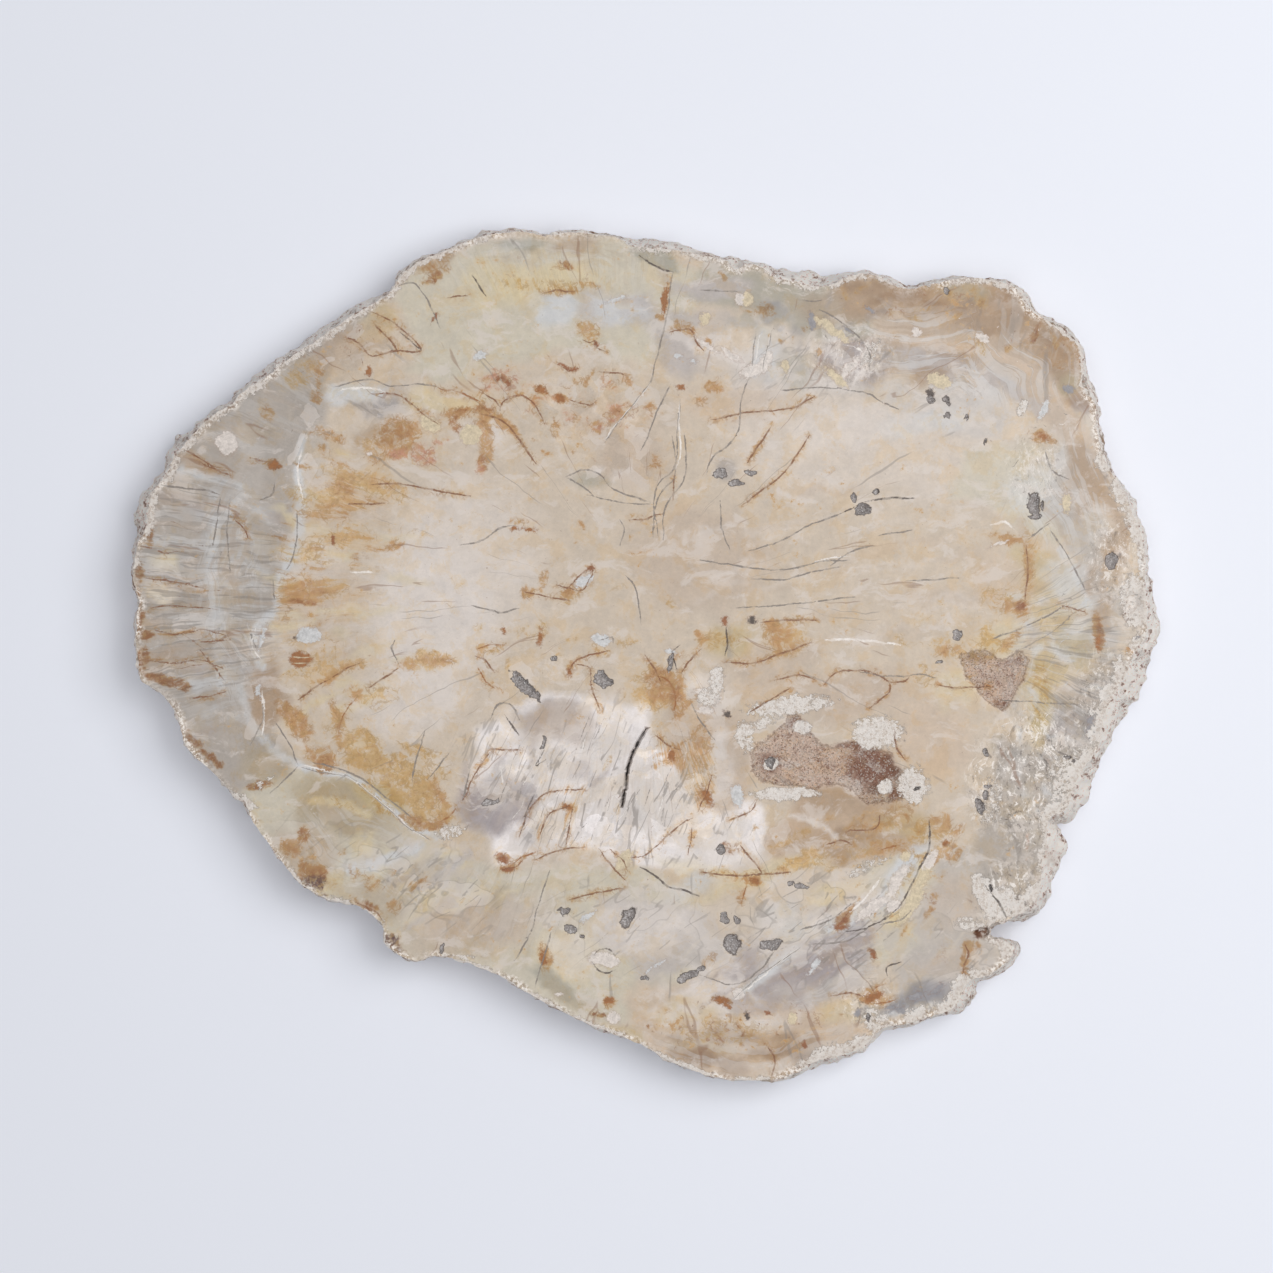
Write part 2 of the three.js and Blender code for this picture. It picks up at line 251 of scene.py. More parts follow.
# Soft washes over the zones: tint, then for each its middle, length, width, turn from level and strength.
WASHES = {
    "ring_pale": (
        (227, 600, 200, 26, 88, 0.7), (250, 470, 90, 24, 75, 0.6), (310, 455, 80, 34, 80, 0.6),
        (185, 470, 60, 22, -10, 0.7)),
    "yellow_cream": (
        (547, 282, 130, 36, 0, 0.75), (497, 285, 70, 50, 10, 0.5), (372, 325, 50, 36, 30, 0.6),
        (168, 560, 44, 24, 0, 0.8), (163, 590, 40, 26, 0, 0.75), (440, 400, 90, 24, 5, 0.6),
        (340, 800, 90, 26, -12, 0.5), (720, 885, 120, 30, 10, 0.6), (840, 895, 60, 30, 30, 0.6),
        (910, 915, 80, 18, 60, 0.5), (780, 870, 90, 26, 15, 0.6), (690, 865, 90, 24, -20, 0.5),
        (566, 958, 70, 50, 0, 0.7), (700, 1010, 110, 26, 0, 0.5), (845, 1010, 60, 30, 0, 0.5),
        (1000, 640, 50, 40, 0, 0.5), (960, 690, 60, 40, 0, 0.5)),
    "grey_green": (
        (660, 261, 46, 22, -10, 0.9), (520, 240, 60, 16, 0, 0.8), (793, 368, 56, 50, 0, 0.5),
        (745, 330, 50, 16, 0, 0.6), (810, 315, 26, 44, 0, 0.6), (557, 985, 70, 18, -25, 0.8),
        (606, 483, 76, 26, -12, 0.8), (865, 362, 50, 30, 0, 0.5), (1075, 640, 60, 40, 40, 0.5)),
    "lilac": (
        (713, 290, 90, 26, 0, 0.9), (678, 350, 70, 44, -20, 0.85), (650, 320, 50, 40, 0, 0.6),
        (612, 312, 90, 44, 0, 0.8), (920, 355, 100, 24, -12, 0.9), (950, 375, 90, 12, -20, 0.6),
        (852, 356, 60, 34, 0, 0.8), (380, 400, 60, 40, 0, 0.5), (430, 875, 90, 50, 10, 0.6),
        (540, 838, 60, 30, 0, 0.7), (920, 905, 70, 30, 35, 0.5), (545, 725, 80, 44, 0, 0.8),
        (700, 885, 50, 26, 0, 0.5), (995, 380, 60, 20, -35, 0.5)),
    "lilac_deep": (
        (497, 803, 80, 56, 0, 1.0), (500, 800, 70, 60, 0, 0.5), (862, 360, 80, 44, 0, 0.7),
        (728, 968, 70, 26, 30, 0.6), (828, 960, 70, 36, 20, 0.7), (845, 935, 80, 14, 25, 0.6),
        (1090, 400, 40, 26, -30, 0.6), (470, 920, 90, 50, 10, 0.4), (1062, 720, 60, 50, 0, 0.4)),
    "bluish_white": (
        (555, 315, 44, 34, 0, 0.9), (620, 312, 70, 40, 0, 0.8), (352, 395, 60, 26, 15, 0.8),
        (365, 862, 60, 20, 25, 0.8), (762, 355, 26, 60, -10, 0.8), (925, 425, 100, 34, 10, 0.5),
        (690, 888, 60, 26, 20, 0.6), (905, 870, 26, 90, -35, 0.8), (840, 920, 120, 30, 25, 0.5),
        (785, 920, 60, 40, 0, 0.5), (1060, 585, 40, 60, 20, 0.6), (1085, 600, 20, 60, -10, 0.6),
        (1028, 495, 60, 40, -40, 0.5)),
    "chalk_grey": (
        (235, 440, 50, 22, 0, 0.55), (745, 370, 50, 30, 0, 0.7), (985, 400, 40, 30, 0, 0.5),
        (1040, 470, 30, 20, 0, 0.5)),
    "shell_white": (
        (480, 435, 60, 30, 0, 0.8), (850, 430, 140, 50, 5, 0.5), (430, 610, 130, 190, 0, 0.8),
        (640, 930, 140, 70, 0, 0.7), (566, 958, 60, 40, 0, 0.5), (560, 770, 100, 40, 30, 0.5),
        (640, 790, 70, 60, 0, 0.5), (410, 705, 130, 76, 0, 0.7), (700, 700, 50, 50, 0, 0.6),
        (720, 840, 80, 50, 0, 0.5), (470, 560, 170, 190, 0, 0.55), (310, 562, 60, 60, 0, 0.6),
        (725, 1000, 80, 34, 0, 0.6), (165, 580, 50, 60, 0, 0.5)),
    "peach": (
        (930, 740, 90, 90, 0, 0.7), (350, 500, 90, 60, 0, 0.5), (320, 590, 110, 50, 0, 0.5),
        (730, 400, 120, 40, 0, 0.5), (780, 690, 120, 40, 0, 0.5), (1000, 580, 60, 60, 0, 0.5),
        (960, 960, 80, 30, 10, 0.5)),
    "tan_deep": (
        (1010, 306, 190, 50, 8, 0.7), (1068, 360, 50, 110, 40, 0.55), (945, 366, 70, 34, 20, 0.6),
        (266, 690, 34, 80, -10, 0.75), (560, 725, 80, 34, 0, 0.3), (380, 900, 100, 60, 30, 0.3),
        (1085, 470, 44, 80, 0, 0.3)),
    "tan_core": (
        (320, 640, 90, 50, 0, 0.5), (700, 560, 150, 110, 0, 0.8), (960, 900, 70, 60, 0, 0.6),
        (470, 930, 190, 80, 15, 0.5), (630, 465, 90, 70, 0, 0.9),
        (620, 420, 110, 60, 0, 0.6), (860, 700, 120, 56, 10, 0.9), (770, 660, 110, 40, 0, 0.7),
        (470, 925, 130, 60, 10, 0.6), (860, 850, 110, 24, 10, 0.5), (800, 850, 60, 30, 0, 0.5)),
    "tan": (
        (350, 345, 90, 50, 35, 0.5), (835, 310, 100, 36, 0, 0.6), (1010, 305, 190, 56, 8, 0.5),
        (1068, 360, 50, 110, 40, 0.5), (300, 850, 90, 70, 20, 0.6), (840, 803, 100, 30, -5, 0.9),
        (262, 690, 44, 90, -10, 0.7), (433, 262, 60, 22, 15, 0.6), (575, 245, 60, 20, 0, 0.7),
        (1100, 480, 30, 110, -35, 0.7), (1078, 460, 30, 70, -40, 0.6), (1100, 600, 24, 70, 5, 0.6),
        (1110, 560, 34, 50, 0, 0.8), (720, 250, 60, 16, -10, 0.5), (780, 1045, 100, 30, 0, 0.6),
        (380, 435, 50, 40, 0, 0.6), (870, 300, 60, 34, 0, 0.5), (860, 842, 120, 22, 5, 0.5),
        (200, 465, 70, 16, -28, 0.8)),
    "olive": (
        (960, 290, 60, 24, 0, 0.7), (1063, 380, 34, 28, -30, 0.9), (345, 804, 120, 50, -14, 1.0),
        (270, 770, 60, 40, 20, 0.6), (815, 325, 14, 36, 0, 0.5), (700, 1045, 60, 20, 0, 0.5),
        (570, 995, 60, 16, -30, 0.5), (420, 265, 40, 20, 10, 0.5)),
    "yellow_olive": (
        (380, 800, 60, 26, -20, 0.6), (730, 640, 60, 40, 0, 0.6), (1040, 700, 26, 90, 0, 0.6),
        (620, 1040, 50, 14, -20, 0.5), (905, 825, 60, 34, 0, 0.5)),
    "blue_grey": (
        (925, 998, 80, 30, 18, 1.0), (905, 1012, 50, 14, 15, 0.6), (1095, 725, 16, 34, 0, 0.6),
        (375, 405, 40, 14, 10, 0.6), (860, 1010, 16, 14, 0, 0.6), (728, 645, 8, 50, 0, 0.5),
        (725, 470, 30, 24, 0, 0.5), (965, 1000, 40, 14, 15, 0.5)),
    "ring_grey": (
        (170, 520, 80, 60, 0, 0.5), (180, 650, 110, 60, 0, 0.6), (1030, 870, 60, 70, 0, 0.5),
        (960, 970, 60, 40, 0, 0.5)),
}

# Stains that soak in with a ragged, half clear edge: tint, then middle, length, width, turn and strength.
STAINS = {
    "ochre_pale": (
        (320, 650, 60, 40, 0, 0.5), (350, 490, 60, 40, 10, 0.6), (310, 590, 70, 30, 0, 0.7),
        (655, 690, 60, 50, 0, 0.8), (700, 770, 40, 80, 0, 0.5), (785, 640, 50, 40, 0, 0.6),
        (430, 660, 60, 24, 0, 0.7), (1000, 600, 50, 40, 0, 0.5), (1030, 560, 14, 90, 0, 0.6),
        (300, 375, 60, 30, 30, 0.5), (720, 1030, 110, 30, 0, 0.5), (960, 650, 80, 30, -10, 0.5)),
    "gold": (
        (372, 762, 64, 26, -10, 0.9), (408, 790, 70, 40, -35, 0.8), (345, 740, 40, 20, -30, 0.6),
        (430, 770, 50, 40, 0, 0.5), (330, 800, 80, 14, -12, 0.5), (720, 640, 50, 26, 0, 0.6),
        (1040, 690, 20, 70, 0, 0.6), (930, 830, 40, 30, 0, 0.7), (990, 640, 30, 20, -40, 0.6),
        (540, 285, 110, 16, -4, 0.5), (900, 880, 20, 50, -35, 0.6)),
    "ochre": (
        (459, 412, 40, 14, 10, 1.1), (484, 437, 20, 60, 12, 0.9), (500, 422, 60, 12, -35, 1.1),
        (345, 487, 30, 26, 0, 0.8), (335, 512, 46, 26, 0, 0.7), (308, 590, 50, 22, 0, 0.8),
        (285, 600, 26, 50, 0, 0.5), (298, 724, 44, 26, -50, 0.9), (284, 708, 26, 16, -40, 0.8),
        (324, 757, 26, 20, 0, 0.9), (338, 725, 12, 60, 15, 0.8), (354, 693, 20, 20, 40, 0.8),
        (330, 676, 44, 8, 28, 0.7), (440, 800, 16, 50, 20, 0.8), (415, 822, 40, 14, -20, 0.9),
        (432, 826, 30, 9, 0, 1.0), (408, 663, 20, 14, 0, 0.9), (438, 660, 36, 14, 0, 0.9),
        (430, 262, 50, 22, 20, 0.7), (398, 435, 50, 44, 0, 0.8), (380, 455, 40, 26, 0, 0.7),
        (267, 413, 22, 14, -45, 0.8), (315, 397, 18, 12, -40, 0.8), (320, 378, 10, 30, 0, 0.7),
        (240, 515, 30, 10, -45, 0.5), (393, 546, 22, 14, 15, 0.9), (353, 562, 14, 20, 0, 0.6),
        (640, 552, 30, 6, 10, 0.6), (519, 522, 26, 10, 0, 0.7), (527, 592, 16, 20, 0, 0.7),
        (543, 580, 10, 26, -20, 0.7), (568, 594, 20, 10, 0, 0.9), (700, 637, 12, 20, 30, 0.9),
        (778, 633, 30, 30, 0, 0.8), (660, 684, 34, 40, 0, 1.0), (678, 700, 14, 60, 0, 1.0),
        (672, 756, 20, 24, 0, 1.0), (702, 744, 24, 60, 0, 0.6), (703, 800, 16, 30, 15, 0.8),
        (753, 881, 18, 14, -20, 1.0), (740, 897, 12, 16, 0, 0.7), (708, 960, 30, 12, 45, 0.6),
        (570, 808, 18, 12, 0, 0.8), (545, 960, 16, 34, 10, 0.9), (609, 1003, 14, 16, 30, 0.9),
        (320, 760, 40, 30, 0, 0.6), (290, 846, 26, 26, 0, 0.9), (304, 832, 14, 20, 0, 0.8),
        (312, 872, 34, 20, 10, 1.0), (394, 907, 18, 14, 20, 0.8), (900, 812, 40, 26, 30, 0.6),
        (941, 822, 26, 26, 0, 0.7), (946, 844, 10, 8, 0, 0.9), (872, 998, 34, 18, -10, 1.0),
        (972, 945, 24, 12, -10, 0.9), (965, 965, 8, 30, 5, 0.9), (1098, 632, 12, 50, 5, 0.95),
        (1133, 648, 18, 14, 30, 0.9), (1042, 438, 34, 16, -25, 0.9), (1008, 539, 36, 12, -5, 0.8),
        (1008, 607, 40, 14, 0, 0.7), (1022, 612, 16, 20, 0, 0.9), (1010, 640, 14, 30, -50, 0.8),
        (765, 311, 20, 18, 0, 0.95), (750, 311, 24, 16, 0, 0.5), (590, 330, 34, 18, -10, 0.7),
        (560, 398, 16, 12, 0, 1.0), (541, 391, 18, 12, -10, 0.9), (714, 385, 26, 16, 0, 0.8),
        (701, 400, 18, 14, 0, 0.8), (1020, 292, 30, 10, -30, 0.7), (1068, 345, 40, 10, -50, 0.6),
        (1082, 362, 10, 22, 0, 0.8), (950, 650, 30, 14, 10, 0.6), (565, 268, 30, 8, 0, 0.5),
        (588, 285, 30, 10, -15, 0.7), (560, 293, 40, 8, 0, 0.6), (683, 325, 20, 14, -20, 0.7),
        (655, 463, 18, 20, 0, 0.6), (370, 880, 40, 16, -30, 0.6)),
    "ochre_deep": (
        (437, 276, 36, 12, 30, 0.9), (484, 464, 16, 18, 0, 1.1), (470, 408, 50, 6, 0, 0.9),
        (275, 464, 18, 12, 0, 1.2), (306, 601, 34, 6, -5, 1.1), (325, 765, 20, 20, -40, 0.7),
        (455, 425, 16, 22, 0, 0.8), (675, 698, 12, 34, 0, 0.9), (657, 677, 30, 12, 10, 0.8),
        (314, 876, 30, 14, 10, 0.8), (430, 825, 40, 10, -15, 0.8), (1100, 636, 8, 36, 5, 0.7),
        (147, 530, 12, 26, 10, 1.0), (139, 572, 10, 24, 0, 1.1), (137, 600, 8, 30, 0, 1.1),
        (138, 622, 10, 26, -15, 1.1), (145, 636, 16, 14, 0, 1.0), (143, 660, 16, 26, 0, 1.2),
        (165, 680, 50, 12, -15, 1.0), (183, 684, 22, 12, -40, 1.1), (195, 745, 30, 14, -35, 0.8),
        (208, 757, 20, 12, -35, 0.8), (218, 765, 14, 10, 0, 1.1), (185, 732, 14, 10, 0, 0.9),
        (258, 787, 30, 10, 10, 0.9), (302, 832, 10, 16, 0, 0.9)),
    "rust_pink": (
        (423, 455, 26, 26, 0, 0.7), (398, 455, 22, 10, 0, 0.9), (440, 443, 24, 8, 10, 0.6),
        (500, 380, 44, 26, 0, 0.7), (1027, 845, 6, 30, 0, 0.6), (480, 470, 14, 14, 0, 0.6)),
    "rust": (
        (500, 379, 14, 8, 0, 1.0), (509, 382, 8, 10, 0, 1.0), (503, 857, 20, 10, -20, 1.1),
        (508, 867, 18, 8, 15, 1.1), (396, 946, 14, 12, -40, 1.0), (843, 922, 16, 16, 0, 1.0),
        (849, 912, 20, 6, 55, 0.9), (873, 953, 8, 12, 30, 1.1), (722, 1001, 26, 8, -5, 1.2),
        (1020, 607, 10, 10, 0, 1.0), (568, 266, 16, 6, -45, 1.0), (365, 903, 34, 8, -25, 1.0),
        (597, 1015, 20, 8, 0, 0.9), (728, 848, 18, 16, 0, 0.7), (140, 502, 8, 8, 0, 1.0),
        (1034, 335, 8, 24, -20, 0.7), (1068, 330, 20, 10, -40, 0.6)),
    "purple_brown": (
        (311, 885, 24, 14, -10, 1.4), (318, 880, 30, 10, -15, 0.9), (388, 941, 20, 14, 0, 1.2),
        (322, 893, 10, 5, -20, 1.1), (391, 943, 10, 12, 0, 1.0), (399, 949, 8, 7, 0, 1.1)),
}

# Crisp spots with a sharp, slightly ragged edge: tint, then middle, length, width and turn.
SPOTS = {
    "ochre_deep": (
        (301, 660, 21, 19, 0), (560, 398, 9, 8, 0), (541, 391, 12, 6, -15), (275, 464, 11, 6, 0),
        (530, 529, 14, 4, -8), (515, 529, 8, 4, 0), (369, 371, 6, 8, 0), (681, 387, 9, 5, 0),
        (665, 300, 7, 22, -12), (608, 1001, 9, 9, 35), (543, 958, 7, 18, 10), (753, 881, 10, 7, -30),
        (722, 1001, 12, 5, -10), (728, 1006, 8, 4, -20), (569, 672, 5, 7, 10), (872, 997, 22, 9, 20),
        (945, 843, 7, 6, 20), (672, 757, 8, 12, 0), (707, 797, 8, 22, 20), (1098, 643, 5, 16, 0),
        (568, 808, 8, 6, -30), (503, 630, 4, 9, 0), (539, 638, 5, 18, -5), (1043, 438, 12, 5, -30)),
    "rust": (
        (498, 379, 7, 5, 0), (508, 382, 5, 7, 20), (333, 541, 4, 9, 0), (370, 372, 4, 7, 0),
        (844, 921, 4, 14, -35), (840, 927, 14, 4, 0), (873, 955, 5, 7, 20), (1022, 608, 7, 5, -30),
        (565, 366, 14, 4, -25), (573, 370, 10, 4, 0), (590, 569, 6, 7, 0), (504, 859, 11, 5, -30),
        (508, 868, 12, 4, 10), (596, 344, 6, 6, 0), (434, 316, 4, 10, -20), (725, 620, 6, 8, 0),
        (767, 1012, 7, 4, -30), (804, 1044, 5, 8, 20)),
    "umber": (
        (984, 933, 18, 12, 20), (1128, 610, 12, 20, 0)),
    "black": (
        (987, 934, 9, 5, 25), (1125, 614, 4, 8, 0)),
    "vein_dark": (
        (752, 621, 8, 6, 0), (297, 637, 6, 5, 0), (728, 716, 5, 8, 30), (748, 1015, 4, 9, 20),
        (1012, 900, 6, 9, 0), (930, 393, 9, 8, 0)),
    "blue_grey": (
        (916, 997, 14, 7, 10), (938, 990, 18, 5, 25), (902, 1012, 12, 7, -20), (857, 1012, 8, 8, 0),
        (1094, 731, 12, 16, 0), (1092, 720, 5, 8, 0), (1140, 638, 12, 6, 20), (890, 1008, 10, 4, 0),
        (742, 261, 8, 5, 0), (1068, 388, 14, 8, -30), (870, 310, 10, 3, -30), (848, 330, 12, 4, -35),
        (812, 322, 8, 18, 0)),
    "bluish_white": (
        (308, 635, 24, 17, 0), (737, 795, 13, 23, 10), (587, 915, 18, 6, 30), (600, 640, 22, 12, -10),
        (655, 967, 26, 3, 28), (480, 355, 14, 8, 15), (258, 690, 6, 16, 0), (584, 582, 20, 9, 30),
        (262, 640, 5, 30, -15), (1136, 602, 11, 16, 0), (672, 652, 10, 6, 0), (1145, 560, 14, 50, 5),
        (1043, 410, 8, 24, -20), (615, 300, 24, 4, 20), (678, 356, 8, 5, 0), (694, 360, 9, 4, -20),
        (815, 965, 22, 6, 50)),
    "straw": (
        (940, 381, 24, 13, -10), (837, 378, 26, 8, -40), (832, 330, 44, 9, -35), (785, 366, 9, 12, 0),
        (704, 320, 11, 12, 0), (910, 905, 14, 44, -35), (1066, 503, 7, 22, 0), (470, 435, 22, 22, 0),
        (430, 425, 22, 16, -30), (748, 300, 12, 18, 0), (792, 1018, 8, 12, 0), (625, 860, 12, 24, -35),
        (905, 857, 12, 8, 20), (920, 880, 10, 30, -30)),
    "shell_white": (
        (607, 961, 24, 14, -15), (227, 444, 22, 22, 0), (918, 333, 11, 9, 20), (982, 338, 12, 8, 0),
        (613, 1018, 16, 12, 0), (752, 371, 26, 12, 15), (764, 362, 12, 22, -30), (730, 355, 24, 6, -40),
        (707, 345, 26, 5, -35), (868, 736, 20, 20, 0), (802, 727, 18, 12, 0), (717, 680, 14, 22, 0),
        (705, 712, 14, 8, 0), (715, 700, 12, 10, 0), (787, 705, 30, 10, 0), (700, 693, 14, 6, 10),
        (772, 763, 14, 9, 0), (780, 793, 30, 12, 0), (886, 788, 12, 14, 20), (917, 785, 14, 22, 0),
        (560, 995, 8, 5, 0), (370, 454, 8, 4, 0), (898, 880, 12, 34, -30), (875, 905, 44, 10, 35),
        (1000, 545, 20, 3, 25), (600, 958, 24, 12, 0), (740, 300, 10, 14, 0), (850, 368, 30, 7, 50),
        (866, 352, 8, 30, -20), (893, 905, 16, 12, 40), (930, 860, 10, 26, -30), (738, 993, 12, 14, 40)),
}

# Rough white chalk: middle, length, width, turn and strength.
CHALK = (
    (868, 737, 28, 26, 0, 1.0), (790, 706, 100, 22, 6, 0.7), (746, 736, 22, 34, 0, 0.7),
    (878, 733, 56, 36, 0, 0.75), (912, 786, 36, 40, 0, 0.7), (786, 794, 80, 14, 0, 0.8),
    (1070, 800, 40, 100, 20, 0.6), (742, 732, 22, 10, 40, 0.9), (885, 736, 16, 16, 0, 0.9),
    (803, 728, 18, 14, 0, 0.9), (787, 704, 50, 14, 0, 0.8), (820, 703, 40, 10, 0, 0.6),
    (765, 722, 26, 12, 20, 0.6), (771, 763, 16, 11, 0, 1.0), (885, 788, 14, 16, 0, 0.8),
    (780, 793, 32, 14, 0, 0.8), (917, 785, 16, 26, 0, 1.0), (717, 680, 18, 30, 0, 0.8),
    (708, 700, 24, 22, 0, 0.7), (985, 895, 22, 50, 20, 0.9), (1000, 905, 40, 40, 0, 0.8),
    (970, 925, 40, 16, -10, 0.6), (1022, 407, 12, 20, -20, 0.8), (970, 995, 44, 24, 35, 1.0),
    (875, 1020, 34, 26, -40, 0.6), (452, 832, 36, 14, 10, 0.6), (800, 272, 90, 11, -5, 0.9),
    (735, 262, 30, 12, -20, 0.8), (655, 240, 70, 9, -15, 0.9), (990, 800, 30, 60, -10, 0.45),
    (1054, 830, 26, 60, 0, 0.75), (1046, 860, 18, 40, 10, 0.7), (1136, 600, 36, 60, 0, 0.75),
    (850, 276, 40, 10, 0, 0.8), (905, 281, 50, 12, 0, 0.8), (240, 800, 40, 12, -30, 0.9),
    (868, 866, 60, 14, 25, 0.5), (265, 783, 30, 8, 30, 0.5), (870, 352, 40, 14, 60, 0.5),
    (1078, 780, 24, 60, 10, 0.7), (1065, 760, 40, 14, -15, 0.5), (1105, 720, 14, 60, -20, 0.9),
    (1133, 672, 16, 60, -20, 1.0), (1145, 540, 16, 90, 8, 0.9), (135, 520, 10, 60, 0, 0.9),
    (830, 1060, 60, 12, 15, 0.8), (880, 1040, 40, 12, 25, 0.8), (460, 955, 60, 6, 0, 0.6))

# Chalk that reaches in from the slice's edge: outline points in pixels and how far it reaches in.
RIM_CHALK = (
    (5, (133, 545, 135, 500, 170, 460, 200, 430, 260, 385, 300, 360, 345, 325)),
    (4, (345, 325, 385, 303, 400, 280, 430, 258, 470, 248)),
    (4, (620, 236, 700, 252, 760, 262, 790, 268, 850, 272, 930, 277, 1000, 276)),
    (1, (1000, 276, 1040, 310, 1083, 350, 1090, 400, 1098, 430)),
    (8, (1115, 470, 1137, 520, 1143, 560, 1146, 610, 1148, 650)),
    (12, (1135, 665, 1110, 715, 1095, 760, 1085, 800)),
    (12, (1070, 812, 1055, 830, 1050, 880, 1040, 905, 1010, 920)),
    (9, (1000, 960, 960, 1000, 880, 1025, 860, 1040, 820, 1060)),
    (3, (780, 1072, 700, 1066, 640, 1040, 560, 1000, 480, 970)),
    (4, (385, 915, 340, 898, 300, 885)),
)

# Sandy fillings of the rotted core, as outlines in pixels.
SAND_BEDS = (
    (752, 752, 757, 742, 770, 738, 782, 726, 788, 716, 798, 716, 806, 730, 815, 740, 833, 748, 850, 741,
     872, 748, 890, 752, 893, 765, 905, 776, 905, 800, 885, 803, 866, 802, 850, 790, 838, 783, 812, 790,
     795, 786, 772, 783, 755, 775),
    (962, 654, 985, 650, 1000, 660, 1018, 650, 1028, 660, 1024, 680, 1012, 700, 1003, 712, 990, 705,
     976, 688, 964, 672),
)
# Shades of the sand: tint, then middle, length, width, turn and strength.
SAND_SHADES = (
    ("sand", ((820, 760, 190, 110, 0, 1.0), (995, 680, 100, 80, 0, 1.0))),
    ("sand_brown", ((872, 768, 60, 50, -20, 0.95), (795, 724, 24, 14, 0, 0.9), (850, 745, 40, 10, 0, 0.8),
                    (1000, 705, 20, 14, 0, 0.6), (975, 658, 16, 12, 0, 0.5), (1010, 662, 22, 10, 0, 0.5),
                    (771, 762, 26, 22, 0, 0.8), (895, 795, 16, 20, 0, 0.9))),
    ("umber", ((895, 770, 12, 26, 0, 0.7), (880, 790, 30, 12, 0, 0.6), (890, 760, 20, 14, 0, 0.5))))

# Crystal pockets and small holes: middle, length, width and turn in the picture, and depth in millimetres.
POCKETS = (
    (1111, 563, 15, 14, 0, 1.6), (864, 509, 17, 14, 0, 2.4), (526, 686, 42, 10, -42, 2.2),
    (603, 681, 20, 14, -20, 2.0), (931, 398, 8, 8, 0, 1.6), (949, 401, 5, 12, 5, 1.6),
    (1034, 502, 11, 22, 5, 2.6), (628, 918, 12, 20, -35, 2.2), (689, 977, 20, 9, 25, 1.8),
    (731, 943, 17, 20, 10, 2.0), (771, 944, 22, 10, 8, 1.8), (721, 850, 10, 9, 20, 2.0),
    (917, 789, 6, 4, 30, 2.6), (980, 806, 9, 14, 20, 1.8), (990, 888, 3, 9, 0, 2.4),
    (854, 498, 5, 10, 10, 1.4), (877, 492, 8, 6, 0, 1.2), (720, 474, 14, 10, 0, 1.2),
    (751, 473, 12, 7, -15, 1.2), (735, 483, 16, 6, 0, 1.0), (554, 659, 6, 6, 0, 1.2),
    (949, 415, 4, 6, 0, 1.2), (969, 417, 3, 6, 20, 1.0), (984, 441, 3, 10, -20, 1.4),
    (563, 910, 12, 6, 15, 1.4), (569, 930, 11, 9, 0, 1.3), (581, 937, 6, 4, 0, 1.0),
    (645, 978, 7, 5, 20, 1.2), (700, 969, 10, 6, 30, 1.2), (725, 917, 9, 12, 0, 1.3),
    (738, 920, 6, 8, 10, 1.1), (986, 752, 4, 9, 5, 1.4), (987, 785, 8, 4, 0, 1.4),
    (978, 800, 6, 4, 20, 1.6), (672, 663, 5, 18, -20, 1.2), (958, 635, 9, 12, 10, 1.0),
    (1068, 757, 5, 3, 0, 1.0), (1075, 761, 4, 3, 0, 1.0), (771, 762, 11, 9, 0, 0.9),
    (946, 291, 7, 6, 0, 0.8), (739, 260, 6, 4, 0, 1.0), (544, 743, 4, 12, -30, 0.9),
    (803, 888, 14, 5, 0, 0.8), (790, 884, 7, 4, 0, 0.8), (490, 802, 16, 7, 15, 0.6),
    (443, 948, 4, 10, -20, 0.8), (984, 793, 6, 8, 0, 1.0), (1043, 504, 3, 10, 0, 1.2),
    (1035, 515, 12, 6, 0, 1.2), (940, 661, 7, 3, 0, 0.7), (868, 1018, 4, 9, 0, 1.0))
# Hollows without crystals.
HOLLOWS = ((1132, 604, 32, 18, 82, 3.2), (984, 933, 20, 14, 20, 3.0))
# The open crack: its width in pixels, its depth in millimetres and its path.
CRACK_WIDTH = 3.2
CRACK_DEPTH = 2.4
CRACK = (646, 729, 641, 738, 634, 750, 629, 764, 626, 779, 624, 793, 622, 806)

